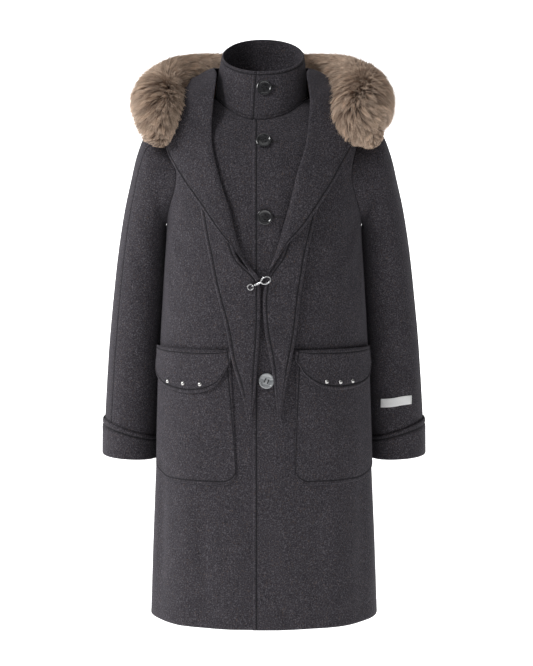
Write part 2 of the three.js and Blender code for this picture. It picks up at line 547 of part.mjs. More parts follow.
// Bare woven label on the wearer's left sleeve
function sleeveSpot(x, z) {
  let turn = 90, v = 0.8;
  for (let i = 0; i < 30; i++) {
    const p = sleevePoint(turn, v), a = sleevePoint(turn + 0.5, v), b = sleevePoint(turn, v + 0.002);
    const ax = (a.x - p.x) / 0.5, az = (a.z - p.z) / 0.5, bx = (b.x - p.x) / 0.002, bz = (b.z - p.z) / 0.002;
    const det = ax * bz - az * bx, dx = x - p.x, dz = z - p.z;
    turn += clamp((dx * bz - dz * bx) / det, -20, 20);
    v += clamp((ax * dz - az * dx) / det, -0.1, 0.1);
  }
  return [turn, v];
}
const LABEL_AT = { left: 228, right: 286, leftTop: -581, rightTop: -574, tall: 16.5, thick: 1 };
const labelPoint = (u, v, lift) => {
  const x = mix(LABEL_AT.left, LABEL_AT.right, u);
  const z = mix(LABEL_AT.leftTop, LABEL_AT.rightTop, u) - LABEL_AT.tall * (1 - v);
  const [turn, row] = sleeveSpot(x, z);
  return sleevePoint(turn, row).addScaledVector(sleeveNormal(turn, row), sleeveFacing * lift);
};
add('sleeve_label', wallGeometry(6, 1, (u, v) => labelPoint(u, v, SEAM + LABEL_AT.thick + 0.2), (u, v) => labelPoint(u, v, SEAM + 0.2)), LABEL);

// Boolean helpers for the clasp and the fur
function toSolid(geometry) {
  const g = geometry.clone();
  g.deleteAttribute('normal');
  if (g.getAttribute('uv')) g.deleteAttribute('uv');
  const m = mergeVertices(g, 1e-4);
  return new wasm.Manifold(new wasm.Mesh({
    numProp: 3, vertProperties: new Float32Array(m.getAttribute('position').array), triVerts: new Uint32Array(m.index.array),
  }));
}
function fromSolid(solid) {
  const m = solid.getMesh();
  const g = new THREE.BufferGeometry();
  g.setAttribute('position', new THREE.BufferAttribute(new Float32Array(m.vertProperties), 3));
  g.setIndex(new THREE.BufferAttribute(new Uint32Array(m.triVerts), 1));
  g.computeVertexNormals();
  return g;
}
function placed(geometry, matrix) {
  const g = geometry.clone();
  g.applyMatrix4(matrix);
  return toSolid(g);
}

// Snap hook: a ring on the wearer's right point, and the hook's eye, shank and loop
const claspLift = (x) => tailRise(x) + STEP + 0.4 + CLASP.wire + 1;
const ringAt = onFront(-24, -356, claspLift(-24) - 1.2);
const shankEnd = onFront(-4, -346.5, claspLift(-4) + 0.6), loopAt = onFront(3.6, -343.5, claspLift(4) + 0.8);
const eyeAt = ringAt.clone().addScaledVector(shankEnd.clone().sub(ringAt).setY(0).normalize(), CLASP.ringRadius);
const ring = new THREE.TorusGeometry(CLASP.ringRadius, CLASP.ringWire, 6, 16);
const ringMesh = add('clasp_ring', toRing(ring), STEEL);
function toRing(g) { g.deleteAttribute('normal'); g.deleteAttribute('uv'); const m = mergeVertices(g, 1e-4); m.computeVertexNormals(); return m; }
ringMesh.position.copy(ringAt);
ringMesh.quaternion.setFromUnitVectors(new THREE.Vector3(0, 0, 1), new THREE.Vector3(0, -1, 0));
const shankDirection = shankEnd.clone().sub(eyeAt).normalize();
const basis = (x, z) => {
  const y = z.clone().cross(x).normalize();
  return new THREE.Matrix4().makeBasis(x, y, x.clone().cross(y).normalize());
};
const eyeTurn = basis(shankDirection, new THREE.Vector3(0, 0, 1)).setPosition(eyeAt);
const loopTurn = basis(shankDirection, new THREE.Vector3(0, -1, 0)).setPosition(loopAt);
const eye = placed(new THREE.TorusGeometry(CLASP.eyeRadius, 0.85, 6, 12), eyeTurn);
const loop = new THREE.TorusGeometry(CLASP.loopShort, CLASP.wire, 7, 18);
loop.scale(CLASP.loopLong / CLASP.loopShort, 1, 1);
const shankFrom = eyeAt.clone().addScaledVector(shankDirection, CLASP.eyeRadius), shankLength = shankEnd.distanceTo(shankFrom) + 0.6;
const shank = new THREE.CylinderGeometry(1.9, 1.9, shankLength, 12);
const shankTurn = new THREE.Matrix4().makeRotationFromQuaternion(
  new THREE.Quaternion().setFromUnitVectors(new THREE.Vector3(0, 1, 0), shankDirection));
shankTurn.setPosition(shankFrom.clone().addScaledVector(shankDirection, shankLength / 2));
add('clasp_hook', fromSolid(eye.add(placed(shank, shankTurn)).add(placed(loop, loopTurn))), STEEL);

// Fur edge: a fat roll along the hood edge, hollowed where cloth lies under or in it
const FUR_SIDES = 10, FUR_RINGS = 30;
function furSolid() {
  const curve = (k, u) => along(FUR.map((r) => r.at[k]), u);
  const points = [], faces = [];
  const last = FUR.length - 1;
  for (let j = 0; j <= FUR_RINGS; j++) {
    const u = last * j / FUR_RINGS, e = 0.05;
    const at = new THREE.Vector3(curve(0, u), curve(1, u), curve(2, u));
    const a = clamp(u + e, 0, last), b = clamp(u - e, 0, last);
    const go = new THREE.Vector3(curve(0, a) - curve(0, b), curve(1, a) - curve(1, b), curve(2, a) - curve(2, b)).normalize();
    const side = go.clone().cross(new THREE.Vector3(0, 0.25, 1).normalize()).normalize(), up = side.clone().cross(go);
    const r = along(FUR.map((f) => f.r), u);
    for (let i = 0; i < FUR_SIDES; i++) {
      const t = 2 * Math.PI * i / FUR_SIDES;
      points.push(at.clone().addScaledVector(side, r * Math.cos(t)).addScaledVector(up, r * Math.sin(t)));
    }
  }
  for (let j = 0; j < FUR_RINGS; j++) for (let i = 0; i < FUR_SIDES; i++) {
    const n = (i + 1) % FUR_SIDES, a = j * FUR_SIDES + i, b = j * FUR_SIDES + n, c = b + FUR_SIDES, d = a + FUR_SIDES;
    faces.push(a, b, c, a, c, d);
  }
  for (let i = 1; i < FUR_SIDES - 1; i++) {
    faces.push(0, i + 1, i);
    const o = FUR_RINGS * FUR_SIDES;
    faces.push(o, o + i, o + i + 1);
  }
  return solidGeometry(points, faces);
}
// Filled form of a ring surface, moved out a little
function filled(nu, nv, ringPoint) {
  const points = [], faces = [];
  for (let j = 0; j <= nv; j++) for (let i = 0; i < nu; i++) points.push(ringPoint(i / nu, j / nv));
  for (let j = 0; j < nv; j++) for (let i = 0; i < nu; i++) {
    const n = (i + 1) % nu, a = j * nu + i, b = j * nu + n, c = b + nu, d = a + nu;
    faces.push(a, b, c, a, c, d);
  }
  const low = points.length, mean = (o) => {
    const p = new THREE.Vector3();
    for (let i = 0; i < nu; i++) p.add(points[o + i]);
    return p.multiplyScalar(1 / nu);
  };
  points.push(mean(0), mean(nv * nu));
  for (let i = 0; i < nu; i++) {
    const n = (i + 1) % nu;
    faces.push(low, n, i, low + 1, nv * nu + i, nv * nu + n);
  }
  return toSolid(solidGeometry(points, faces));
}
const CLEAR = 1.5;
let fur = toSolid(furSolid());
for (const side of [-1, 1]) {
  fur = fur.subtract(filled(30, 12, (u, v) => {
    const turn = 360 * u, w = Math.max(0, 0.55 * v - 0.05);
    const p = sleevePoint(turn, w).addScaledVector(sleeveNormal(turn, w), sleeveFacing * (CLEAR + 0.8));
    if (v === 0) p.x -= 8;
    return mirror(p, side);
  }));
}
fur = fur.subtract(filled(44, 12, (u, v) => {
  const level = rowLevel(mix(0.42, 1, v));
  return form(360 * u, level).addScaledVector(formNormal(360 * u, level), CLEAR + 1);
}));
fur = fur.subtract(filled(36, 4, (u, v) => collarPoint(360 * u, mix(-0.1, 1.3, v), CLEAR)));
for (const [name, rows, side] of [['right', HOOD_RIGHT, -1], ['left', HOOD_LEFT, 1]]) {
  const surface = hoodSurface(rows, side), f = hoodFacing[name];
  const cut = (lift) => (t, w) => {
    const n = slopeNormal(surface, t, w, 2e-3, 2e-3, 0, 1, 0, 1).multiplyScalar(f);
    const p = surface(t, w).addScaledVector(n, lift);
    if (t > 0.99) p.addScaledVector(surface(1, w).sub(surface(0.97, w)).normalize(), 2 * CLEAR);
    if (w > 0.99) p.x -= side * CLEAR;
    return p;
  };
  fur = fur.subtract(toSolid(wallGeometry(HOOD_ROWS, HOOD_COLUMNS, cut(CLEAR), cut(-WALL - CLEAR))));
}
const furPieces = fur.simplify(1.2).decompose().sort((a, b) => b.volume() - a.volume());
add('fur_trim', fromSolid(furPieces[0]), FUR_PILE);

export default coat;
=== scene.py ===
"""A buttoned wool overcoat with a fur-edged hood lying down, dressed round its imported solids.

The coat's own surfaces are worked out from named sizes in millimetres, in the frame of the
solids: +Z up, the front faces -Y, the wearer's left is +X, the origin is at the neck.
"""

from __future__ import annotations

import logging
import math
from dataclasses import dataclass, field
from enum import Enum
from typing import Callable, Sequence

import bmesh
import bpy
import numpy as np
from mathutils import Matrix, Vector
from mathutils.bvhtree import BVHTree

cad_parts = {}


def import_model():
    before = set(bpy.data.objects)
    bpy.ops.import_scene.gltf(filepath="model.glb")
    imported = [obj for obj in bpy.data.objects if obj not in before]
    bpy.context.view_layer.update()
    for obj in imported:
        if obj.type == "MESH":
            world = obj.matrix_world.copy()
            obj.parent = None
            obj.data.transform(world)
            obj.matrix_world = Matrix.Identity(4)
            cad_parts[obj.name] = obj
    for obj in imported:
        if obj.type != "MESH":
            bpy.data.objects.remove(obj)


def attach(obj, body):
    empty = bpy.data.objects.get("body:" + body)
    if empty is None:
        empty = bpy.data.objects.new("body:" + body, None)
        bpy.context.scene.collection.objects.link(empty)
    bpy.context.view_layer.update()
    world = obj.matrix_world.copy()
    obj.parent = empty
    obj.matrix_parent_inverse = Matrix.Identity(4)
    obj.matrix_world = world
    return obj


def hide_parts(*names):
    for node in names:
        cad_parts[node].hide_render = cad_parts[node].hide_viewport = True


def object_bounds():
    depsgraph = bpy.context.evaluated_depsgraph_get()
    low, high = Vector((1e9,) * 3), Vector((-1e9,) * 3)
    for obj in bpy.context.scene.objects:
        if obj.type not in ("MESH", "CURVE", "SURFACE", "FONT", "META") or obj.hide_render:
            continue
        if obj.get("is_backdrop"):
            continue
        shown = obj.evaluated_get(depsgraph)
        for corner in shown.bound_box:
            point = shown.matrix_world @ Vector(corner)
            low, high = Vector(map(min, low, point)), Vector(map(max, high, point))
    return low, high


LOG = logging.getLogger("overcoat")
MM = 0.001
WALL = 2.5
SEAM = 0.3
STEP = WALL + SEAM
NECK_LEVEL = 0.0
SHOULDER_LEVEL = -52.0
ARMPIT_LEVEL = -240.0
HEM_LEVEL = -1000.0
FRONT_EDGE_X = -20.0
UNDERLAP_X = 19.0
ARMHOLE_FRONT_CUT = 30.0
ARMHOLE_BACK_CUT = 24.0
LAP_FULL_X = 24.0
LAP_END_X = 52.0
BLACK, WHITE = (0, 0, 0), (1, 1, 1)
CLOTH_MERGE = 0.00002
PART_MERGE = 0.00001

Grid = np.ndarray
Mesh = tuple[Grid, Grid, Grid]
Triple = tuple[float, float, float]
Piece = bpy.types.Object
Finish = bpy.types.Material
Socket = bpy.types.NodeSocket


class Side(Enum):
    """The wearer's two sides, each with its sign along X."""

    RIGHT = -1
    LEFT = 1

    @property
    def label(self) -> str:
        """Name of the side as the pieces use it."""
        return self.name.lower()


class Held(Enum):
    """How a cloth piece is held."""

    HUNG = "hung"
    FOLDED = "folded"


def smooth(low: float, high: float, value: Grid) -> Grid:
    """Eased step from 0 at low to 1 at high."""
    t = np.clip((np.asarray(value, float) - low) / (high - low), 0.0, 1.0)
    return t * t * (3.0 - 2.0 * t)


def mix(a: Grid, b: Grid, t: Grid) -> Grid:
    """Straight blend of a and b."""
    return a + (b - a) * t


def signed_power(value: Grid, power: Grid) -> Grid:
    """Power of the size of a value, with its sign kept."""
    return np.sign(value) * np.abs(value) ** power


def unit(vectors: Grid) -> Grid:
    """Vectors of length one."""
    return vectors / np.maximum(np.linalg.norm(vectors, axis=-1, keepdims=True), 1e-9)


def stack(x: Grid, y: Grid, z: Grid) -> Grid:
    """Joins three broadcastable arrays into points."""
    return np.stack(np.broadcast_arrays(x, y, z), -1).astype(float)


def curve_through(table: Grid, u: Grid) -> Grid:
    """Cubic through equally spaced stations.

    Args:
        table: stations along the first axis: (n, k) for fixed points, or (n, *u.shape, k) where each
            place has stations of its own.
        u: positions from 0 to n - 1.

    Returns:
        The values at u, with u's shape and then k.
    """
    table, u = np.asarray(table, float), np.asarray(u, float)
    n, own = len(table), table.ndim > 2
    u = np.clip(u, 0, n - 1)
    k = np.clip(np.floor(u).astype(int), 0, n - 2)
    t = (u - k)[..., None]

    def pick(step: int) -> Grid:
        """Station a few steps from k."""
        index = np.clip(k + step, 0, n - 1)
        return np.take_along_axis(table, index[None, ..., None], 0)[0] if own else table[index]

    here, there = pick(0), pick(1)
    m0, m1 = (there - pick(-1)) / 2, (pick(2) - here) / 2
    t2, t3 = t * t, t * t * t
    return (2 * t3 - 3 * t2 + 1) * here + (t3 - 2 * t2 + t) * m0 + (3 * t2 - 2 * t3) * there + (t3 - t2) * m1


def rows_of(kind: type, *rows: tuple[float, ...]) -> tuple:
    """Rows of numbers as objects of one kind, in the order of its fields."""
    return tuple(kind(*row) for row in rows)


@dataclass(frozen=True)
class Fold:
    """A soft trough or ridge between two spots of a surface.

    The spots are in millimetres along the surface and level; depth is negative for a trough.
    """

    s0: float
    z0: float
    s1: float
    z1: float
    width: float
    depth: float

    def relief(self, s: Grid, z: Grid) -> Grid:
        """Height that the fold adds at the given spots."""
        ds, dz = self.s1 - self.s0, self.z1 - self.z0
        length = math.hypot(ds, dz)
        t = ((s - self.s0) * ds + (z - self.z0) * dz) / length**2
        tc = np.clip(t, 0, 1)
        away = np.hypot(s - self.s0 - ds * tc, z - self.z0 - dz * tc)
        ends = 0.25 + 0.75 * np.sin(math.pi * np.clip(0.08 + 0.84 * tc, 0, 1))
        bend = 1 + 0.25 * np.sin(3.1 * tc + self.s0)
        return self.depth * ends * np.exp(-((away / (self.width * bend)) ** 2))


def fold_relief(folds: Sequence[Fold], s: Grid, z: Grid) -> Grid:
    """Sum of the folds' heights."""
    total = np.zeros(np.broadcast(s, z).shape)
    for fold in folds:
        total += fold.relief(s, z)
    return total


@dataclass(frozen=True)
class Girth:
    """One level section of the coat."""

    level: float
    half: float
    front: float
    back: float
    drop: float
    rise: float
    square: float
    shift: float


GIRTHS = rows_of(
    Girth,
    (-1000, 222, 160, 152, 0, 0, 2.4, 0),
    (-860, 216, 158, 149, 0, 0, 2.4, 0),
    (-720, 210, 156, 146, 0, 0, 2.4, 0),
    (-600, 206, 153, 142, 0, 0, 2.4, 0),
    (-480, 202, 150, 139, 0, 0, 2.4, 0),
    (-360, 195, 146, 136, 0, 0, 2.4, 0),
    (-240, 188, 141, 132, 0, 0, 2.4, 0),
    (-150, 187, 135, 131, -12, 4, 2.4, 0),
    (-90, 187, 127, 124, -26, 12, 2.35, 0),
    (-52, 183, 117, 113, -38, 18, 2.3, -1),
    (-25, 140, 103, 97, -44, 23, 2.2, -3),
    (0, 88, 88, 78, -47, 26, 2.1, -5),
)


class CoatForm:
    """The outer form of the coat's body, as worn."""

    def __init__(self, girths: Sequence[Girth], folds: Sequence[Fold]) -> None:
        """Keeps the sections as arrays, with slopes that never overshoot.

        Args:
            girths: sections from the hem up.
            folds: soft folds, by distance round the coat from the centre front and level.
        """
        self.folds = folds
        self.levels = np.array([g.level for g in girths], float)
        self.table = np.array([[g.half, g.front, g.back, g.drop, g.rise, g.square, g.shift] for g in girths])
        d = np.diff(self.levels)
        s = np.diff(self.table, axis=0) / d[:, None]
        m = np.zeros_like(self.table)
        m[0], m[-1] = s[0], s[-1]
        for i in range(1, len(m) - 1):
            w1, w2 = 2 * d[i] + d[i - 1], d[i] + 2 * d[i - 1]
            same = s[i - 1] * s[i] > 0
            with np.errstate(divide="ignore", invalid="ignore"):
                m[i] = np.where(same, (w1 + w2) / (w1 / s[i - 1] + w2 / s[i]), 0)
        self.slopes, self.steps = m, d
        self.turns = np.linspace(0, 360, 721)
        middle = self.point(self.turns, -480.0)[:, :2]
        self.run = np.concatenate([[0], np.cumsum(np.linalg.norm(np.diff(middle, axis=0), axis=1))])

    def section(self, level: Grid) -> list[Grid]:
        """Half width, front, back, drop, rise, squareness and shift at a level."""
        level = np.asarray(level, float)
        k = np.clip(np.searchsorted(self.levels, level) - 1, 0, len(self.levels) - 2)
        t = np.clip((level - self.levels[k]) / self.steps[k], 0, 1)[..., None]
        d = self.steps[k][..., None]
        t2, t3 = t * t, t * t * t
        row = (2 * t3 - 3 * t2 + 1) * self.table[k] + (t3 - 2 * t2 + t) * d * self.slopes[k]
        row = row + (3 * t2 - 2 * t3) * self.table[k + 1] + (t3 - t2) * d * self.slopes[k + 1]
        return [row[..., i] for i in range(row.shape[-1])]

    def point(self, angle: Grid, level: Grid) -> Grid:
        """Points at an angle from the centre front towards +X and a level."""
        angle, level = np.broadcast_arrays(np.radians(angle), np.asarray(level, float))
        half, front, back, drop, rise, square, shift = self.section(level)
        s, c = np.sin(angle), np.cos(angle)
        deep = np.where(c > 0, front, back)
        lean = np.where(c > 0, drop, rise)
        across, along = half * signed_power(s, 2 / square), deep * signed_power(c, 2 / square)
        return stack(shift + across, -along, level + lean * c * c)

    def normal(self, angle: Grid, level: Grid) -> Grid:
        """Outward normals."""
        level = np.asarray(level, float)
        a = self.point(angle + 0.4, level) - self.point(angle - 0.4, level)
        up = np.clip(level + 2, HEM_LEVEL, NECK_LEVEL)
        down = np.clip(level - 2, HEM_LEVEL, NECK_LEVEL)
        return unit(np.cross(a, self.point(angle, up) - self.point(angle, down)))

    def relief(self, angle: Grid, level: Grid) -> Grid:
        """Height of the folds at an angle and a level."""
        angle, level = np.broadcast_arrays(angle, np.asarray(level, float))
        s = np.interp(np.mod(angle, 360), self.turns, self.run)
        return fold_relief(self.folds, s, level) + fold_relief(self.folds, s - self.run[-1], level)

    def skin(self, angle: Grid, level: Grid, lift: Grid) -> Grid:
        """Points of the worn cloth, with its folds, moved out by lift."""
        height = self.relief(angle, level) + lift
        return self.point(angle, level) + self.normal(angle, level) * height[..., None]

    def spot(self, x: Grid, z: Grid) -> tuple[Grid, Grid]:
        """Angle and level of the front at x and z."""
        x, z = np.broadcast_arrays(np.asarray(x, float), np.asarray(z, float))
        level = np.minimum(z, -1.0)
        s = np.zeros_like(level)
        for _ in range(30):
            half, _front, _back, drop, _rise, square, shift = self.section(level)
            dx = x - shift
            s = np.sign(dx) * np.minimum(1, np.abs(dx) / half) ** (square / 2)
            level = 0.5 * level + 0.5 * np.minimum(z - drop * (1 - s * s), 0)
        return np.degrees(np.arcsin(np.clip(s, -1, 1))), level

    def on_front(self, x: Grid, z: Grid, lift: Grid) -> Grid:
        """Points on the front at x and z, moved out by lift."""
        angle, level = self.spot(x, z)
        return self.skin(angle, level, np.broadcast_to(np.asarray(lift, float), level.shape))

    def edge_angle(self, x: float, level: Grid) -> Grid:
        """Angle at which a level's section has the given x on the front."""
        drop = self.section(level)[3]
        return self.spot(np.full(np.shape(level), x), level + drop)[0]


BODY_FOLDS = rows_of(
    Fold,
    (-152, -1010, -140, -640, 24, 4.5),
    (-104, -1010, -112, -770, 17, -3.0),
    (-58, -1010, -46, -820, 20, 2.4),
    (-205, -1010, -212, -690, 18, -3.4),
    (-246, -1010, -238, -560, 22, 3.2),
    (42, -1010, 52, -730, 19, 2.6),
    (88, -1010, 92, -790, 17, -3.2),
    (140, -1010, 128, -600, 25, 4.4),
    (190, -1010, 196, -720, 18, -3.4),
    (240, -1010, 232, -540, 24, 3.4),
    (300, -1010, 318, -480, 26, -3.6),
    (352, -1010, 360, -420, 30, 5.5),
    (412, -1010, 402, -560, 22, -4.6),
    (462, -1010, 478, -450, 28, 5.0),
    (520, -1010, 510, -640, 24, -4.2),
    (566, -1010, 572, -380, 26, 4.6),
    (622, -1010, 612, -600, 24, -4.8),
    (676, -1010, 664, -470, 28, 5.6),
    (738, -1010, 726, -560, 24, -4.0),
    (786, -1010, 794, -500, 22, 3.8),
    (-222, -262, -152, -345, 13, 2.4),
    (-216, -246, -158, -292, 9, -1.8),
    (-236, -300, -196, -420, 15, 2.2),
    (222, -262, 158, -338, 14, 2.2),
    (214, -240, 166, -272, 9, -1.7),
    (238, -306, 204, -436, 14, 2.0),
    (320, -250, 372, -352, 16, 3.0),
    (326, -300, 366, -420, 12, -2.2),
    (762, -250, 708, -346, 15, 2.8),
    (756, -296, 716, -404, 12, -2.2),
    (478, -268, 530, -520, 24, 2.4),
    (612, -262, 570, -540, 22, 2.2),
    (-150, -96, -120, -214, 18, -1.6),
    (150, -96, 124, -220, 17, -1.5),
    (-26, -700, -30, -960, 14, -1.1),
)
FORM = CoatForm(GIRTHS, BODY_FOLDS)


def lap_rise(x: Grid) -> Grid:
    """Rise of the wearer's left front where it lies on the right one."""
    return STEP * (1 - smooth(LAP_FULL_X, LAP_END_X, x))


def armhole_cut(level: Grid, cut: float) -> Grid:
    """Degrees that the armhole bites into a panel at a level."""
    t = np.clip((np.asarray(level, float) - ARMPIT_LEVEL) / (SHOULDER_LEVEL - ARMPIT_LEVEL), 0, 1)
    return cut * np.sin(math.pi * t) ** 0.8


@dataclass(frozen=True)
class Line:
    """A mark at a distance from an edge: a line of grid points with a height and a painted shade that darkens
    the wool along it.
    """

    away: float
    height: float = 0.0
    shade: float = 0.0


# The third number of a mark is painted shade: the wool is darkened in grooves, stitch lines, seams and along
# edges, where shade falls.
PLAIN_EDGE = rows_of(Line, (0, -0.35, 0.25), (1.3, 0.0), (4.0, 0.0))
SEAM_EDGE = rows_of(Line, (0, -0.9, 1.0), (1.2, -0.35, 0.45), (3.2, 0.0), (6.0, 0.1))
STITCHED_EDGE = rows_of(
    Line, (0, -0.55, 0.15), (1.1, 0.2), (3.0, 0.5), (4.6, 0.2, 0.35),
    (6.4, -1.15, 1.6), (8.2, 0.1, 0.35), (10.6, 0.4), (15.0, 0.0),
)
HEM_EDGE = rows_of(
    Line, (0, -0.6, 0.2), (1.3, 0.1), (4.0, 0.3), (8.0, 0.1), (24.0, 0.1), (27.0, -0.25, 0.12), (30.0, 0.0)
)
COLLAR_FOOT = rows_of(
    Line, (0, -0.7, 0.8), (1.6, 0.0, 0.3), (3.4, 0.35), (5.6, -0.55, 0.9), (7.4, 0.25), (11.0, 0.0)
)
ROLLED_EDGE = rows_of(Line, (0, -1.0, 0.0), (1.2, -0.25), (2.8, 0.0), (6.0, 0.0))
DOUBLE_EDGE = rows_of(
    Line, (0, -0.6, 0.35), (1.0, 0.05), (1.9, -0.35, 0.6), (2.9, 0.25),
    (5.0, 0.3, 0.3), (6.7, -0.95, 1.5), (8.4, 0.25, 0.3), (11.0, 0.0),
)
TAPE_EDGE = rows_of(Line, (0, -0.3), (0.5, 0.0), (1.2, 0.0))


def spread(fine: Grid, first: Sequence[Line], last: Sequence[Line], step: float) -> tuple[Grid, Grid, Grid]:
    """Places grid columns by real distance along each row.

    Args:
        fine: points sampled evenly in the row's own position, shape (rows, samples, 3).
        first: marks from the start of the row.
        last: marks from its end.
        step: spacing wanted between the marks.

    Returns:
        Positions 0..1, heights and painted shades, each of shape (rows, columns).
    """
    lengths = np.linalg.norm(np.diff(fine, axis=1), axis=-1)
    run = np.concatenate([np.zeros((len(fine), 1)), np.cumsum(lengths, 1)], 1)
    total = run[:, -1]
    reach_a, reach_b = first[-1].away, last[-1].away
    count = max(2, int(round((np.median(total) - reach_a - reach_b) / step)))
    squeeze = np.minimum(1.0, total / max(1e-6, (reach_a + reach_b) * 1.15))
    where, height, shade = [], [], []

    def mark(place: Grid, rise: Grid, dark: Grid) -> None:
        """Adds one column."""
        where.append(place)
        height.append(rise)
        shade.append(dark)

    for line in first:
        mark(line.away * squeeze, line.height * squeeze, line.shade * squeeze)
    for k in range(1, count):
        mark(mix(reach_a * squeeze, total - reach_b * squeeze, k / count), 0 * total, 0 * total)
    for line in reversed(last):
        mark(total - line.away * squeeze, line.height * squeeze, line.shade * squeeze)
    where = np.stack(where, 1)
    position = np.linspace(0, 1, fine.shape[1])
    out = np.stack([np.interp(where[j], run[j], position) for j in range(len(fine))])
    return out, np.stack(height, 1), np.stack(shade, 1)


@dataclass
class Sampled:
    """A surface sampled on a grid that keeps to the marks of its four edges."""

    points: Grid
    u: Grid
    v: Grid
    height: Grid
    shade: Grid


def sample_surface(
    surface: Callable[[Grid, Grid], Grid],
    step: tuple[float, float],
    edges: Sequence[Sequence[Line]],
    ring: bool = False,
) -> Sampled:
    """Samples a surface over 0..1 by 0..1 with rows and columns at real distances.

    Args:
        surface: gives points for arrays of u and v.
        step: spacing wanted along u and v.
        edges: marks at u = 0, u = 1, v = 0 and v = 1.
        ring: whether u closes on itself.

    Returns:
        The sampled grid.
    """
    start, end, low, high = edges
    fine = np.linspace(0, 1, 241)
    middle = surface(np.full_like(fine, 0.5), fine)
    v, v_height, v_shade = spread(middle[None], low, high, step[1])
    v, v_height, v_shade = v[0], v_height[0], v_shade[0]
    uu, vv = np.meshgrid(fine, v)
    rows = surface(uu, vv)
    if ring:
        length = np.linalg.norm(np.diff(rows, axis=1), axis=-1).sum(1).mean()
        count = int(round(length / step[0]))
        u = np.tile(np.arange(count) / count, (len(v), 1))
        u_height = np.zeros_like(u)
        u_shade = np.zeros_like(u)
    else:
        u, u_height, u_shade = spread(rows, start, end, step[0])
    vv = np.tile(v[:, None], (1, u.shape[1]))
    height = np.where(np.abs(u_height) > np.abs(v_height[:, None]), u_height, v_height[:, None] + 0 * u)
    shade = np.maximum(u_shade, v_shade[:, None])
    return Sampled(surface(u, vv), u, vv, height, shade)


def grid_normals(points: Grid, ring: bool) -> Grid:
    """Normals of a grid of points, by the cross product of its rows and columns."""
    if ring:
        du = np.roll(points, -1, 1) - np.roll(points, 1, 1)
    else:
        du = np.gradient(points, axis=1)
    return unit(np.cross(du, np.gradient(points, axis=0)))


def new_object(name: str, points: Grid, quads: Grid, tris: Grid | None = None, flat: bool = False) -> Piece:
    """Makes a mesh object from points in millimetres.

    Args:
        name: the piece's name.
        points: shape (n, 3).
        quads: four-cornered faces, shape (m, 4).
        tris: three-cornered faces, shape (k, 3).
        flat: whether the faces keep their flat shading.

    Returns:
        The linked object.
    """
    mesh = bpy.data.meshes.new(name)
    tris = np.zeros((0, 3), int) if tris is None else tris
    corners = np.concatenate([quads.ravel(), tris.ravel()]).astype(np.int32)
    sizes = np.concatenate([np.full(len(quads), 4), np.full(len(tris), 3)]).astype(np.int32)
    starts = np.concatenate([[0], np.cumsum(sizes)[:-1]]).astype(np.int32)
    mesh.vertices.add(len(points))
    mesh.vertices.foreach_set("co", (np.asarray(points, np.float32) * MM).ravel())
    mesh.loops.add(len(corners))
    mesh.loops.foreach_set("vertex_index", corners)
    mesh.polygons.add(len(sizes))
    mesh.polygons.foreach_set("loop_start", starts)
    mesh.polygons.foreach_set("use_smooth", np.full(len(sizes), not flat))
    mesh.update(calc_edges=True)
    mesh.validate()
    obj = bpy.data.objects.new(name, mesh)
    bpy.context.scene.collection.objects.link(obj)
    return obj


def set_attribute(obj: Piece, name: str, values: Grid) -> None:
    """Writes one number a vertex under a name that the finishes read."""
    layer = obj.data.attributes.new(name, "FLOAT", "POINT")
    layer.data.foreach_set("value", np.asarray(values, np.float32))


def mirrored(points: Grid, side: Side) -> Grid:
    """Points with X turned to the wearer's side."""
    return points * np.array([float(side.value), 1.0, 1.0])


@dataclass
class ClothShell:
    """A closed cloth wall with rounded edges, built from a sampled surface."""

    name: str
    sampled: Sampled
    axis: tuple[float, float] = (0.0, 0.0)
    wall: float = WALL
    ring: bool = False

    def build(self) -> Piece:
        """Makes the mesh: outer face, inner face and a rounded rim between them."""
        p = self.sampled.points
        n = grid_normals(p, self.ring)
        away = (p - np.array([*self.axis, 0.0])) * np.array([1.0, 1.0, 0.0])
        n = n * (1.0 if (n * away).sum() > 0 else -1.0)
        outer = p + n * self.sampled.height[..., None]
        inner = p - n * self.wall
        rows, cols = p.shape[:2]
        count = rows * cols
        index = np.arange(count).reshape(rows, cols)
        nxt = np.roll(index, -1, 1) if self.ring else index[:, 1:]
        here = index if self.ring else index[:, :-1]
        face = np.stack([here[:-1], nxt[:-1], nxt[1:], here[1:]], -1).reshape(-1, 4)
        quads = [face, face[:, ::-1] + count]
        points = [outer.reshape(-1, 3), inner.reshape(-1, 3)]
        shade = [self.sampled.shade.ravel(), np.zeros(count)]
        base = 2 * count
        for loop, inside, closed in self._borders(index):
            a, b = outer.reshape(-1, 3)[loop], inner.reshape(-1, 3)[loop]
            away = unit(p.reshape(-1, 3)[loop] - p.reshape(-1, 3)[inside])
            points.append((a + b) / 2 + away * min(self.wall * 0.3, 0.75))
            # Painted shade: the rounded rim's wool is darkened a little.
            shade.append(np.full(len(loop), 0.35))
            middle = base + np.arange(len(loop))
            base += len(loop)
            pair = [(loop, middle), (middle, loop + count)]
            for one, two in pair:
                o2, t2 = (np.roll(one, -1), np.roll(two, -1)) if closed else (one[1:], two[1:])
                o1, t1 = (one, two) if closed else (one[:-1], two[:-1])
                quads.append(np.stack([o1, t1, t2, o2], -1))
        obj = new_object(f"{self.name}_cloth", np.concatenate(points), np.concatenate(quads))
        # The 'seam' mark carries the painted shade of grooves, seams, edges and the rim.
        set_attribute(obj, "seam", np.concatenate(shade))
        face_out(obj, CLOTH_MERGE)
        return obj

    def _borders(self, index: Grid) -> list[tuple[Grid, Grid, bool]]:
        """Border loops with the points one step inside them."""
        if self.ring:
            return [(index[0], index[1], True), (index[-1], index[-2], True)]
        loop = np.concatenate([index[0, :-1], index[:-1, -1], index[-1, :0:-1], index[:0:-1, 0]])
        inside = np.concatenate([index[1, :-1], index[:-1, -2], index[-2, :0:-1], index[:0:-1, 1]])
        rows, cols = index.shape
        corner = [0, cols - 1, cols + rows - 2, 2 * cols + rows - 3]
        deep = [index[1, 1], index[1, -2], index[-2, -2], index[-2, 1]]
        for place, spot in zip(corner, deep):
            inside[place] = spot
        return [(loop, inside, True)]


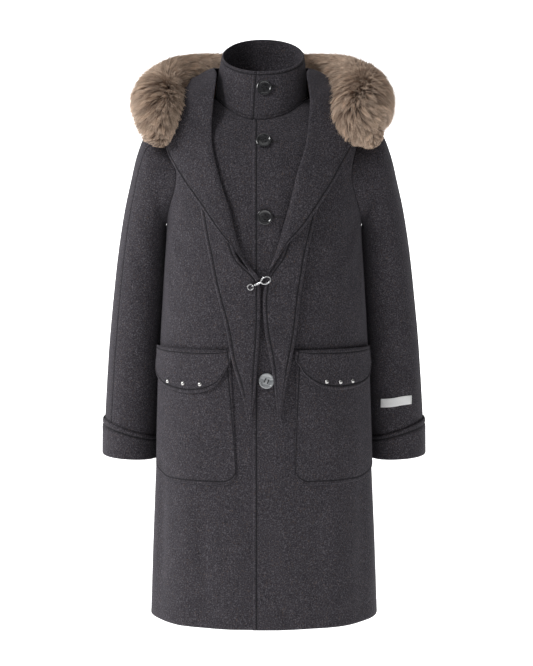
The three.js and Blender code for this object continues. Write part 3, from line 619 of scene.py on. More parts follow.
def face_out(obj: Piece, merge: float = 0.0) -> None:
    """Turns every face of a closed mesh outwards, after merging points nearer than merge, in metres."""
    work = bmesh.new()
    work.from_mesh(obj.data)
    if merge:
        bmesh.ops.remove_doubles(work, verts=work.verts, dist=merge)
    bmesh.ops.recalc_face_normals(work, faces=work.faces)
    work.to_mesh(obj.data)
    work.free()
    obj.data.update()


@dataclass(frozen=True)
class SleeveRing:
    """One slanted ring of the wearer's left sleeve: outer and inner point, half depth and middle."""

    ox: float
    oz: float
    ix: float
    iz: float
    deep: float
    y: float


SLEEVE_RINGS = rows_of(
    SleeveRing,
    (222, -62, 190.8, -244, 74, 7),
    (244, -105, 191.5, -255, 76, 13),
    (259.5, -165, 192, -280, 77, 21),
    (272, -220, 193, -320, 77, 28),
    (285, -300, 195.8, -382, 76, 34),
    (296, -390, 200.6, -465, 74, 39),
    (305, -475, 204.8, -556, 72, 42),
    (312.5, -580, 210.4, -634, 71, 44),
    (315.5, -640, 212.4, -670, 70, 44),
    (315.5, -692, 213.4, -699, 70, 44),
)


class SleeveForm:
    """Form of a sleeve: turn 0 at its outer line, 90 at the front, 180 under the arm."""

    SQUARE = 2.2
    AWAY = -1.0
    SPAN = 680.0

    def __init__(self, side: Side, folds: Sequence[Fold]) -> None:
        """Keeps the side and its folds, by distance round (turn) and down the sleeve."""
        self.side, self.folds = side, folds

    def _armhole(self, turn: Grid) -> Grid:
        """Seam line on the body."""
        level = mix(SHOULDER_LEVEL, ARMPIT_LEVEL, (1 - np.cos(turn)) / 2)
        front, back = armhole_cut(level, ARMHOLE_FRONT_CUT), armhole_cut(level, ARMHOLE_BACK_CUT)
        angle = np.where(np.sin(turn) >= 0, 90 - front, 90 + back)
        return FORM.point(angle, level) + np.array([self.AWAY, 0, 0])

    def plain(self, turn: Grid, v: Grid) -> Grid:
        """Points without folds, on the wearer's left."""
        turn, v = np.broadcast_arrays(np.radians(turn), np.asarray(v, float))
        rings = [self._armhole(turn)]
        c = signed_power(np.cos(turn), 2 / self.SQUARE)[..., None]
        s = signed_power(np.sin(turn), 2 / self.SQUARE)
        for r in SLEEVE_RINGS:
            o, i = np.array([r.ox, r.y, r.oz]), np.array([r.ix, r.y, r.iz])
            rings.append((o + i) / 2 + (o - i) / 2 * c + stack(0.0, -r.deep * s, 0.0))
        return curve_through(np.stack(rings), v * len(SLEEVE_RINGS))

    def normal(self, turn: Grid, v: Grid) -> Grid:
        """Outward normals on the wearer's left."""
        a = self.plain(turn + 1, v) - self.plain(turn - 1, v)
        b = self.plain(turn, np.clip(v + 0.01, 0, 1)) - self.plain(turn, np.clip(v - 0.01, 0, 1))
        return unit(np.cross(a, b))

    def point(self, turn: Grid, v: Grid, lift: Grid = 0.0) -> Grid:
        """Points of the worn sleeve on its own side, moved out by lift."""
        turn, v = np.broadcast_arrays(np.asarray(turn, float), np.asarray(v, float))
        round_mm, down = np.mod(turn, 360) * 1.15, v * self.SPAN
        fade = smooth(0.03, 0.16, v)
        height = fold_relief(self.folds, round_mm, down) + fold_relief(self.folds, round_mm - 414, down)
        height = height * fade + lift
        return mirrored(self.plain(turn, v) + self.normal(turn, v) * height[..., None], self.side)

    def spot(self, x: float, z: float) -> tuple[float, float]:
        """Turn and position whose front point has the given x and z."""
        turn, v = 90.0, 0.8
        for _ in range(40):
            near = ((turn, v), (turn + 0.5, v), (turn, v + 0.002))
            p, a, b = (mirrored(self.plain(t, w), self.side) for t, w in near)
            m = np.array([[(a - p)[0] / 0.5, (b - p)[0] / 0.002], [(a - p)[2] / 0.5, (b - p)[2] / 0.002]])
            step = np.linalg.solve(m, [x - p[0], z - p[2]])
            turn += float(np.clip(step[0], -20, 20))
            v += float(np.clip(step[1], -0.1, 0.1))
        return turn, v


@dataclass(frozen=True)
class Station:
    """A station of a hood half: the roll beside the neck and the free edge, in x, y, z."""

    rx: float
    ry: float
    rz: float
    ex: float
    ey: float
    ez: float
    puff: float
    hang: float


@dataclass(frozen=True)
class LapelStation:
    """A station of the hood's front part, lying on the coat: roll and edge in x and z."""

    rx: float
    rz: float
    ex: float
    ez: float


LAPELS = {
    Side.RIGHT: rows_of(
        LapelStation,
        (-7, -340, -12, -347),
        (-34, -306, -46, -296),
        (-49, -266, -82, -251),
        (-62, -214, -113, -206),
        (-78, -165, -144, -159),
        (-93, -105, -167, -116),
    ),
    Side.LEFT: rows_of(
        LapelStation,
        (5, -333, 1, -341),
        (22, -292, 37, -284),
        (36, -243, 72, -245),
        (48, -200, 100, -203),
        (60, -150, 128, -157),
        (75, -103, 152, -108),
    ),
}
HOODS = {
    Side.RIGHT: rows_of(
        Station,
        (-98, -104, -62, -182, -68, -82, 14, 0),
        (-95, -84, -8, -181, -52, -28, 8, 0),
        (-91, -38, 44, -176, -4, 4, 8, 6),
        (-95, 10, 58, -158, 54, 32, 66, 44),
        (-72, 57, 60, -108, 100, 42, 118, 188),
        (-36, 82, 58, -54, 122, 46, 100, 262),
        (-0.25, 89, 56, -0.25, 129, 47, 88, 285),
    ),
    Side.LEFT: rows_of(
        Station,
        (83, -104, -60, 174, -74, -70, 14, 0),
        (87, -84, -8, 180, -52, -24, 8, 0),
        (82, -38, 44, 178, -4, 4, 8, 6),
        (84, 10, 58, 158, 54, 32, 66, 44),
        (62, 57, 60, 108, 100, 42, 118, 188),
        (28, 82, 58, 54, 122, 46, 100, 262),
        (0.25, 89, 56, 0.25, 129, 47, 88, 285),
    ),
}


def tail_rise(x: Grid) -> Grid:
    """Height of the pointed hood ends over the coat."""
    return 11.5 - 5 * smooth(40, 120, np.abs(x))


def lapel_rise(x: Grid, across: Grid, u: Grid) -> Grid:
    """Height of the hood's front part over the coat."""
    return tail_rise(x) + STEP + 0.4 + 4.5 * smooth(0, 1, across) * smooth(0, 2, u)


class HoodForm:
    """Surface of a hood half: t from the roll to the free edge, w from the clasp to the centre back."""

    FRONT = 5

    def __init__(self, side: Side, folds: Sequence[Fold]) -> None:
        """Lays the stations out and keeps the folds, by distance along and across."""
        self.side, self.folds = side, folds
        low = [(s.rx, s.rz, s.ex, s.ez) for s in LAPELS[side]]
        first = HOODS[side][0]
        self.low = np.array([*low, (first.rx, first.rz, first.ex, first.ez)], float)
        rows = []
        for rx, rz, ex, ez in low:
            roll = FORM.on_front(rx, rz, lapel_rise(rx, 0.0, 5.0))
            edge = FORM.on_front(ex, ez, lapel_rise(ex, 1.0, 5.0))
            rows.append([*roll, *edge, 8, 0])
        rows += [[s.rx, s.ry, s.rz, s.ex, s.ey, s.ez, s.puff, s.hang] for s in HOODS[side]]
        self.high = np.array(rows, float)

    def plain(self, t: Grid, w: Grid) -> Grid:
        """Points without folds."""
        t, w = np.broadcast_arrays(np.asarray(t, float), np.asarray(w, float))
        u = w * (len(self.high) - 1)
        row = curve_through(self.high, np.maximum(u, self.FRONT - 1))
        turn = np.radians(smooth(5, 12, u) * 125 - 35)
        over = smooth(6, 7.5, u) * (1 - smooth(8, 9.5, u))
        out = unit(stack(self.side.value * np.cos(turn), np.sin(turn), 0.9 * over))
        wave = np.sin(math.pi * np.clip(t, 0, 1))
        space = mix(row[..., :3], row[..., 3:6], t[..., None])
        space = space + out * (row[..., 6] * wave**0.65 * (0.45 + 0.8 * t))[..., None]
        space = space - stack(0.0, 0.0, row[..., 7] * wave**1.3)
        near = np.minimum(u, self.FRONT + 0.999)
        lap = curve_through(self.low, near)
        x = mix(lap[..., 0], lap[..., 2], t)
        reach = np.hypot(lap[..., 2] - lap[..., 0], lap[..., 3] - lap[..., 1])
        curl = 2.8 * (1 - smooth(0, 8, t * reach)) * smooth(0.4, 1.6, u)
        flat = FORM.on_front(x, mix(lap[..., 1], lap[..., 3], t), lapel_rise(x, t, near) - curl)
        return mix(flat, space, smooth(self.FRONT - 0.6, self.FRONT + 1, u)[..., None])

    def point(self, t: Grid, w: Grid) -> Grid:
        """Points with the folds."""
        t, w = np.broadcast_arrays(np.asarray(t, float), np.asarray(w, float))
        p = self.plain(t, w)
        dt = self.plain(np.clip(t + 0.004, 0, 1), w) - self.plain(np.clip(t - 0.004, 0, 1), w)
        dw = self.plain(t, np.clip(w + 0.004, 0, 1)) - self.plain(t, np.clip(w - 0.004, 0, 1))
        n = unit(np.cross(dw, dt)) * self.side.value
        height = fold_relief(self.folds, w * 620, t * 120) * smooth(0.0, 0.12, t) * (1 - smooth(0.97, 1.0, w))
        return p + n * height[..., None]


@dataclass(frozen=True)
class Cut:
    """Flat size of what shows of a cloth piece, in metres, and how it is held."""

    width: float
    length: float
    area: float
    held: Held = Held.HUNG
    rests_on: tuple[str, ...] = ()


CUTS = {
    "front_right": Cut(0.32, 1.02, 0.287),
    "front_left": Cut(0.32, 1.02, 0.287),
    "back": Cut(0.58, 1.02, 0.543),
    "collar": Cut(0.58, 0.1, 0.046),
    "sleeve_right_front": Cut(0.15, 0.63, 0.070),
    "sleeve_right_back": Cut(0.28, 0.66, 0.145),
    "sleeve_left_front": Cut(0.18, 0.64, 0.089),
    "sleeve_left_back": Cut(0.25, 0.66, 0.127),
    "cuff_right": Cut(0.37, 0.065, 0.022, Held.FOLDED),
    "cuff_left": Cut(0.37, 0.065, 0.022, Held.FOLDED),
    "hood_tail_right": Cut(0.09, 0.51, 0.026, Held.HUNG, ("front_right",)),
    "hood_tail_left": Cut(0.085, 0.5, 0.0245, Held.HUNG, ("front_left",)),
    "hood_right": Cut(0.62, 0.42, 0.124, Held.FOLDED, ("back",)),
    "hood_left": Cut(0.62, 0.42, 0.124, Held.FOLDED, ("back",)),
    "pocket_right": Cut(0.19, 0.25, 0.047, Held.HUNG, ("front_right",)),
    "pocket_left": Cut(0.19, 0.25, 0.047, Held.HUNG, ("front_left",)),
    "flap_right": Cut(0.18, 0.085, 0.0124, Held.HUNG, ("pocket_right", "front_right")),
    "flap_left": Cut(0.18, 0.085, 0.0117, Held.HUNG, ("pocket_left", "front_left")),
}


def hand_over(obj: Piece, finish: Finish, slot: str, *nodes: str) -> Piece:
    """Gives a piece its finish and its body, and hides the solids that it stands for."""
    obj.data.materials.clear()
    obj.data.materials.append(finish)
    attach(obj, "root")
    if nodes:
        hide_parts(*nodes)
    LOG.info("%s: %d faces", obj.name, len(obj.data.polygons))
    return obj


def sew(
    name: str,
    finish: Finish,
    surface: Callable[[Grid, Grid], Grid],
    step: tuple[float, float],
    edges: Sequence[Sequence[Line]],
    ring: bool = False,
    axis: tuple[float, float] = (0.0, 0.0),
) -> Piece:
    """Samples a surface, builds its wall and hands it over.

    Args:
        name: the solid that it stands for, which also names its cut.
        finish: its wool.
        surface: gives points of its outer face for arrays of u and v.
        step: spacing wanted along u and v.
        edges: marks at the start, end, low and high edge.
        ring: whether u closes on itself.
        axis: X and Y inside the piece, for telling outside from inside.

    Returns:
        The piece.
    """
    shell = ClothShell(name, sample_surface(surface, step, edges, ring), axis, ring=ring)
    obj, cut = hand_over(shell.build(), finish, "coat_wool", name), CUTS[name]
    list(cut.rests_on)
    return obj


@dataclass
class CoatBody:
    """The two fronts and the back."""

    wool: Finish
    step: tuple[float, float] = (6.5, 8.0)
    clear: float = 0.02

    def build(self) -> list[Piece]:
        """Builds the three panels."""
        return [self._front(Side.RIGHT), self._front(Side.LEFT), self._back()]

    def _front(self, side: Side) -> Piece:
        """Builds a front, the wearer's left one lying over the right one."""
        left = side is Side.LEFT
        first = FRONT_EDGE_X if left else UNDERLAP_X

        def surface(u: Grid, v: Grid) -> Grid:
            """Points of the front."""
            level = mix(HEM_LEVEL, NECK_LEVEL, v)
            start = FORM.edge_angle(first, level)
            end = side.value * (90 - armhole_cut(level, ARMHOLE_FRONT_CUT) - self.clear)
            angle = mix(start, end, u)
            lift = lap_rise(FORM.point(angle, level)[..., 0]) if left else np.zeros_like(angle)
            return FORM.skin(angle, level, lift)

        edges = (STITCHED_EDGE if left else PLAIN_EDGE, SEAM_EDGE, HEM_EDGE, SEAM_EDGE)
        return sew(f"front_{side.label}", self.wool, surface, self.step, edges)

    def _back(self) -> Piece:
        """Builds the back."""

        def surface(u: Grid, v: Grid) -> Grid:
            """Points of the back."""
            level = mix(HEM_LEVEL, NECK_LEVEL, v)
            cut = armhole_cut(level, ARMHOLE_BACK_CUT) + self.clear
            angle = mix(90 + cut, 270 - cut, u)
            return FORM.skin(angle, level, np.zeros_like(angle))

        return sew("back", self.wool, surface, self.step, (SEAM_EDGE, SEAM_EDGE, HEM_EDGE, SEAM_EDGE))


@dataclass
class StandCollar:
    """The stand collar, one turn and the front overlap."""

    wool: Finish
    half: float = 78.5
    front: float = 66
    back: float = 64
    shift: float = -1.5
    side_top: float = 81
    drop: float = 36
    square: float = 2.1
    lap: float = 12.5
    full: float = 1.8

    def point(self, angle: Grid, v: Grid, lift: Grid, rise: Grid) -> Grid:
        """Points by angle and height 0..1, moved out by lift."""
        angle, v = np.broadcast_arrays(np.asarray(angle, float), np.asarray(v, float))
        base = FORM.skin(angle, np.full_like(angle, NECK_LEVEL), np.zeros_like(angle))
        s, c = np.sin(np.radians(angle)), np.cos(np.radians(angle))
        p = 2 / self.square
        deep = np.where(c > 0, self.front, self.back)
        top = self.side_top - self.drop * c
        rim = stack(self.shift + self.half * signed_power(s, p), -deep * signed_power(c, p), top)
        base = base + stack(0.0, 0.0, 0.6 + 0.62 * rise)
        hump = self.full * np.sin(math.pi * np.clip(v, 0, 1)) + self._soft(angle, v)
        out = stack(s, -c, 0.0)
        return mix(base, rim, v[..., None]) + out * (rise + lift + hump)[..., None]

    def _soft(self, angle: Grid, v: Grid) -> Grid:
        """Slight unevenness round the collar."""
        a = np.radians(angle)
        waves = 0.8 * np.sin(3 * a + 0.6) + 0.5 * np.sin(7 * a + 2.0) + 0.5 * np.sin(5 * a - 1)
        return waves * np.sin(math.pi * v) ** 0.7

    def surface(self, u: Grid, v: Grid) -> Grid:
        """Points of the collar from its underlap round to its front edge."""
        angle = mix(self.lap, -360 - self.lap, np.asarray(u, float))
        plain = self.point(angle, v, 0.0, 0.0)
        rise = np.where(angle < -270, lap_rise(plain[..., 0]), 0.0)
        return self.point(angle, v, 0.0, rise)

    def build(self) -> list[Piece]:
        """Builds the collar."""
        edges = (PLAIN_EDGE, STITCHED_EDGE, COLLAR_FOOT, STITCHED_EDGE)
        return [sew("collar", self.wool, self.surface, (5.0, 5.5), edges)]


@dataclass
class Sleeve:
    """A sleeve of two pieces with its turned-up cuff."""

    side: Side
    seam: float
    wool: Finish
    folds: Sequence[Fold]
    gap: float = 0.2
    cuff_low: float = 1.004
    cuff_top: float = 0.868
    cuff_rise: float = 0.95
    cuff_flare: float = 1.5

    def __post_init__(self) -> None:
        """Makes the form."""
        self.form = SleeveForm(self.side, self.folds)

    @property
    def axis(self) -> tuple[float, float]:
        """Middle of the sleeve, for telling outside from inside."""
        return (self.side.value * 250.0, 8.0)

    def build(self) -> list[Piece]:
        """Builds both halves and the cuff."""
        pieces = []
        for part, start, end in (("front", self.seam, 180.0), ("back", 180.0, 360.0 + self.seam)):

            def surface(u: Grid, v: Grid, start: float = start, end: float = end) -> Grid:
                """Points of the half."""
                return self.form.point(mix(start + self.gap, end - self.gap, u), v)

            name, edges = f"sleeve_{self.side.label}_{part}", (SEAM_EDGE, SEAM_EDGE, SEAM_EDGE, PLAIN_EDGE)
            pieces.append(sew(name, self.wool, surface, (6.0, 7.0), edges, axis=self.axis))
        pieces.append(self._cuff())
        return pieces

    def _cuff(self) -> Piece:
        """Builds the cuff, a band folded up round the sleeve's end."""

        def surface(u: Grid, v: Grid) -> Grid:
            """Points of the cuff's outside."""
            row = mix(self.cuff_low, self.cuff_top, np.asarray(v, float))
            turn = 360 * np.asarray(u, float)
            wave = 0.5 * np.sin(np.radians(turn) * 2 + 1) + 0.4 * np.sin(np.radians(turn) * 5)
            lift = self.cuff_rise + WALL + self.cuff_flare * (1 - v) + 0.5 + wave * 0.4
            p = self.form.point(turn, np.clip(row, 0, 1), lift)
            return p - stack(0.0, 0.0, np.maximum(0, row - 1) * 600)

        edges = (PLAIN_EDGE, PLAIN_EDGE, ROLLED_EDGE, STITCHED_EDGE)
        return sew(f"cuff_{self.side.label}", self.wool, surface, (6.0, 6.0), edges, True, self.axis)


@dataclass(frozen=True)
class EndRow:
    """One row of a pointed hood end: level, and the inner and outer edge."""

    z: float
    inner: float
    outer: float


END_ROWS = {
    Side.RIGHT: rows_of(
        EndRow,
        (-608, -26, -29),
        (-580, -20, -33),
        (-540, -15, -44),
        (-490, -11.5, -58.5),
        (-435, -8, -68),
        (-380, -7, -82),
        (-345, -10, -91),
        (-306, -37, -98),
        (-266, -51, -106),
        (-214, -64, -115),
        (-165, -80, -124),
        (-105, -95, -134),
    ),
    Side.LEFT: rows_of(
        EndRow,
        (-598, 26, 29.5),
        (-570, 23, 34.5),
        (-530, 18.5, 42),
        (-480, 10, 52),
        (-431, 1.5, 60),
        (-375, -1, 66),
        (-335, 7, 72),
        (-292, 25, 79),
        (-243, 39, 90),
        (-200, 51, 100),
        (-150, 63, 112),
        (-103, 78, 120),
    ),
}


@dataclass
class HoodEnd:
    """The long pointed end of the hood under its roll, lying on the front."""

    side: Side
    wool: Finish

    def build(self) -> list[Piece]:
        """Builds the end."""
        rows = np.array([[r.z, r.inner, r.outer] for r in END_ROWS[self.side]], float)

        def surface(u: Grid, v: Grid) -> Grid:
            """Points of the end."""
            row = curve_through(rows, np.asarray(v, float) * (len(rows) - 1))
            z = row[..., 0]
            inner = row[..., 1] + self.side.value * 9 * smooth(-345, -300, z)
            x = mix(inner, row[..., 2], u)
            soft = 0.8 * np.sin(z / 47) * np.sin(math.pi * np.asarray(u)) - 1.6 * smooth(-520, -606, z)
            return FORM.on_front(x, z, tail_rise(x) + soft)

        edges = (STITCHED_EDGE, STITCHED_EDGE, PLAIN_EDGE, PLAIN_EDGE)
        return [sew(f"hood_tail_{self.side.label}", self.wool, surface, (5.5, 7.0), edges)]


@dataclass
class HoodHalf:
    """A half of the hood: lapel in front, round the neck and down at the back."""

    side: Side
    wool: Finish
    folds: Sequence[Fold]

    def build(self) -> list[Piece]:
        """Builds the half."""
        form, edges = HoodForm(self.side, self.folds), (ROLLED_EDGE, STITCHED_EDGE, PLAIN_EDGE, SEAM_EDGE)
        return [sew(f"hood_{self.side.label}", self.wool, form.point, (7.0, 6.5), edges)]


@dataclass(frozen=True)
class PocketSize:
    """Sizes of a patch pocket on the front, in x and z."""

    left: float
    right: float
    low_left: float
    low_right: float
    top: float = -480
    bottom: float = -726
    corner: float = 27


@dataclass(frozen=True)
class FlapSpot:
    """A point of a flap's lower edge."""

    x: float
    z: float


POCKETS = {Side.RIGHT: PocketSize(-200, -62, -203, -50), Side.LEFT: PocketSize(60, 200, 58, 204)}
FLAP_EDGES = {
    Side.RIGHT: rows_of(
        FlapSpot, (-200, -508), (-196, -531), (-178, -548), (-143, -555),
        (-111, -551), (-86, -537), (-71, -513), (-60, -492),
    ),
    Side.LEFT: rows_of(
        FlapSpot, (58, -490), (64, -500), (77, -521), (105, -542),
        (143, -549), (180, -543), (193, -529), (197, -506),
    ),
}
STUDS = {
    Side.RIGHT: rows_of(FlapSpot, (-175, -537), (-147, -538), (-116, -538)),
    Side.LEFT: rows_of(FlapSpot, (114, -533), (139, -535), (161, -535)),
}


@dataclass
class PocketSet:
    """A patch pocket with its flap and three dome studs."""

    side: Side
    wool: Finish
    metal: Finish
    first_stud: int
    puff: float = 1.2
    lay: float = 0.3
    flap_top: float = -474
    flap_curl: float = 2.6
    stud_profile: tuple[tuple[float, float], ...] = (
        (0, -0.2), (4.0, -0.2), (4.05, 0.35), (3.8, 0.95), (3.2, 1.7), (2.3, 2.4), (1.2, 2.8), (0, 2.92),
    )

    @property
    def flap_rise(self) -> float:
        """Height of the flap over the coat."""
        return STEP + self.lay + self.puff + STEP + 0.2

    def build(self) -> list[Piece]:
        """Builds the pocket, the flap and the studs."""
        return [self._pocket(), self._flap(), *self._studs()]

    def _pocket(self) -> Piece:
        """Builds the patch."""
        k = POCKETS[self.side]

        def surface(u: Grid, v: Grid) -> Grid:
            """Points of the patch."""
            u, v = np.broadcast_arrays(np.asarray(u, float), np.asarray(v, float))
            side = np.minimum(u, 1 - u) * (k.low_right - k.low_left)
            d = np.maximum(0, k.corner - side)
            low = k.bottom + k.corner - np.sqrt(np.maximum(0, k.corner**2 - d**2))
            z = mix(low, k.top, v)
            at_low, at_top = mix(k.low_left, k.low_right, u), mix(k.left, k.right, u)
            x = mix(at_low, at_top, (z - k.bottom) / (k.top - k.bottom))
            lift = STEP + self.lay + self.puff * np.sin(math.pi * u) * np.sin(math.pi * v)
            sag = 1.6 * np.exp(-(((u - 0.42) / 0.3) ** 2)) * np.exp(-(((v - 0.82) / 0.16) ** 2))
            return FORM.on_front(x, z, lift + sag)

        edges = (DOUBLE_EDGE, DOUBLE_EDGE, DOUBLE_EDGE, STITCHED_EDGE)
        return sew(f"pocket_{self.side.label}", self.wool, surface, (5.5, 6.0), edges)

    def _flap_point(self, u: Grid, v: Grid) -> Grid:
        """Points of the flap."""
        edge = np.array([[s.x, s.z] for s in FLAP_EDGES[self.side]], float)
        row = curve_through(edge, np.asarray(u, float) * (len(edge) - 1))
        z = mix(row[..., 1], self.flap_top, v)
        return FORM.on_front(row[..., 0], z, self.flap_rise + self._curl(z, row[..., 1]))

    def _curl(self, z: Grid, low: Grid) -> Grid:
        """How far the flap stands off towards its lower edge."""
        return self.flap_curl * np.clip((self.flap_top - z) / (self.flap_top - low), 0, 1) ** 2

    def _flap(self) -> Piece:
        """Builds the flap."""
        edges = (STITCHED_EDGE, STITCHED_EDGE, STITCHED_EDGE, DOUBLE_EDGE)
        return sew(f"flap_{self.side.label}", self.wool, self._flap_point, (4.5, 4.5), edges)

    def _studs(self) -> list[Piece]:
        """Builds the domes, each seated on the flap."""
        pieces, lower = [], FLAP_EDGES[self.side]
        for number, spot in enumerate(STUDS[self.side], self.first_stud):
            edge = np.interp(spot.x, [s.x for s in lower], [s.z for s in lower])
            place = FORM.on_front(spot.x, spot.z, self.flap_rise + 0.25 + self._curl(spot.z, edge))
            normal = FORM.normal(*FORM.spot(spot.x, spot.z))
            obj = new_object(f"stud_{number}_dome", *stood(lathe(self.stud_profile, 40), place, normal))
            face_out(obj, PART_MERGE)
            pieces.append(hand_over(obj, self.metal, "stud_metal", f"stud_{number}"))
        return pieces


def circle(sides: int) -> Grid:
    """Equal steps round a circle, in radians."""
    return 2 * math.pi * np.arange(sides) / sides


def ring_faces(rings: int, sides: int, closed: bool = False) -> tuple[Grid, Grid]:
    """Faces over rings of points that follow each other.

    Args:
        rings: number of rings.
        sides: points in each.
        closed: whether the last ring joins the first. If not, two end points follow the rings' points.

    Returns:
        Quads between the rings, and the triangles of the two ends.
    """
    i = np.arange(sides)
    j = (i + 1) % sides
    steps = [(k * sides, (k + 1) % rings * sides) for k in range(rings if closed else rings - 1)]
    quads = np.concatenate([np.stack([a + i, a + j, b + j, b + i], -1) for a, b in steps])
    if closed:
        return quads, np.zeros((0, 3), int)
    low, high, last = rings * sides, rings * sides + 1, (rings - 1) * sides
    start = np.stack([np.full(sides, low), j, i], -1)
    end = np.stack([np.full(sides, high), last + i, last + j], -1)
    return quads, np.concatenate([start, end])


def lathe(profile: Sequence[tuple[float, float]], sides: int) -> Mesh:
    """Turns a profile of (radius, height) about Z.

    Args:
        profile: starts and ends on the axis.
        sides: number of steps round.

    Returns:
        Points, quads and the triangles at the two ends.
    """
    turn = circle(sides)
    rings = [stack(r * np.cos(turn), r * np.sin(turn), h) for r, h in profile[1:-1]]
    points = np.concatenate([*rings, [[0, 0, profile[0][1]], [0, 0, profile[-1][1]]]])
    return points, *ring_faces(len(rings), sides)


def stood(mesh: Mesh, place: Grid, normal: Grid, spin: float = 0.0) -> Mesh:
    """Stands a mesh on a place, its Z along a normal and its X level, turned by spin degrees."""
    points, quads, tris = mesh
    z = unit(np.asarray(normal, float))
    x = unit(np.cross([0.0, 0.0, 1.0], z))
    y = np.cross(z, x)
    a = math.radians(spin)
    px = points[:, :1] * math.cos(a) - points[:, 1:2] * math.sin(a)
    py = points[:, :1] * math.sin(a) + points[:, 1:2] * math.cos(a)
    return np.asarray(place) + px * x + py * y + points[:, 2:] * z, quads, tris


def tube(path: Grid, radius: float | Grid, sides: int, closed: bool = False) -> Mesh:
    """Round tube along a path.

    Args:
        path: points, shape (n, 3).
        radius: one number, or one a point.
        sides: steps round.
        closed: whether the path closes on itself.

    Returns:
        Points, quads and the triangles of the two ends.
    """
    path = np.asarray(path, float)
    go = np.roll(path, -1, 0) - np.roll(path, 1, 0) if closed else np.gradient(path, axis=0)
    go = unit(go)
    side = np.zeros_like(go)
    last = unit(np.cross(go[0], [0.31, 0.2, 0.93]))
    for k, direction in enumerate(go):
        last = unit(last - direction * (last @ direction))
        side[k] = last
    up = np.cross(go, side)
    turn = circle(sides)
    r = np.broadcast_to(np.asarray(radius, float), len(path))[:, None, None]
    ring = side[:, None] * np.cos(turn)[:, None] + up[:, None] * np.sin(turn)[:, None]
    points = (path[:, None] + ring * r).reshape(-1, 3)
    if not closed:
        points = np.concatenate([points, path[:1], path[-1:]])
    return points, *ring_faces(len(path), sides, closed)


def joined(parts: Sequence[Mesh]) -> Mesh:
    """Puts several meshes into one."""
    starts = np.cumsum([0] + [len(points) for points, _quads, _tris in parts])
    moved = [(points, quads + start, tris + start) for (points, quads, tris), start in zip(parts, starts)]
    return tuple(np.concatenate(arrays) for arrays in zip(*moved))


@dataclass
class HornButton:
    """A four-hole horn button with a raised rim and its thread."""

    number: int
    place: Grid
    normal: Grid
    horn: Finish
    slot: str
    thread: Finish
    spin: float = 20.0
    radius: float = 14.5
    thick: float = 4.0
    rim: float = 3.0
    hole: float = 1.25
    spread: float = 3.1

    def build(self) -> list[Piece]:
        """Builds the button and its thread."""
        return [self._disc(), self._stitches()]

    def _disc(self) -> Piece:
        """Builds the turned disc and drills its holes."""
        r, t, rim = self.radius, self.thick, self.rim
        profile = [
            (0, 0), (r * 0.7, 0), (r * 0.9, t * 0.16), (r * 0.985, t * 0.4), (r, t * 0.62),
            (r * 0.985, t * 0.84), (r - rim * 0.45, t * 0.985), (r - rim * 0.75, t),
            (r - rim * 1.05, t * 0.93), (r - rim * 1.3, t * 0.74), (r - rim * 1.6, t * 0.64),
            (r * 0.42, t * 0.56), (r * 0.2, t * 0.53), (0, t * 0.52),
        ]
        name = f"button_{self.number}"
        obj = new_object(name + "_horn", *self._stood(lathe(profile, 64)))
        face_out(obj, PART_MERGE)
        spots = [(x, y) for y in (-self.spread, self.spread) for x in (-self.spread, self.spread)]
        drills = [tube(stack(x, y, np.array([-2.0, 6.0])), self.hole, 14) for x, y in spots]
        cutter = new_object(name + "_drill", *self._stood(joined(drills)))
        face_out(cutter, PART_MERGE)
        tool = obj.modifiers.new("holes", "BOOLEAN")
        tool.operation, tool.solver, tool.object = "DIFFERENCE", "EXACT", cutter
        baked = bpy.data.meshes.new_from_object(obj.evaluated_get(bpy.context.evaluated_depsgraph_get()))
        obj.modifiers.clear()
        obj.data = baked
        bpy.data.objects.remove(cutter, do_unlink=True)
        smooth_by_angle(obj, 40)
        return hand_over(obj, self.horn, self.slot, name)

    def _stood(self, mesh: Mesh) -> Mesh:
        """Stands a mesh where the button is."""
        return stood(mesh, self.place, self.normal, self.spin)

    def _stitches(self) -> Piece:
        """Builds the thread that crosses between the holes and the shank behind them."""
        parts = []
        for y in (-self.spread, self.spread):
            for k in (-0.45, 0.1, 0.55):
                x = np.linspace(-self.spread, self.spread, 13)
                h = self.thick * 0.56 + 0.75 * np.sin(math.pi * (x / self.spread + 1) / 2) ** 0.5 - 0.4
                parts.append(tube(stack(x, y + k + 0 * x, h), 0.33, 6))
        parts.append(tube(stack(0.0, 0.0, np.array([-0.8, 0.6])), 3.2, 14))
        obj = new_object(f"button_{self.number}_thread", *self._stood(joined(parts)))
        return hand_over(obj, self.thread, self.slot)


def smooth_by_angle(obj: Piece, degrees: float) -> None:
    """Shades smooth with sharp edges where faces meet at more than the given angle."""
    work = bmesh.new()
    work.from_mesh(obj.data)
    limit = math.radians(degrees)
    for face in work.faces:
        face.smooth = True
    for edge in work.edges:
        edge.smooth = len(edge.link_faces) < 2 or edge.calc_face_angle(0.0) < limit
    work.to_mesh(obj.data)
    work.free()


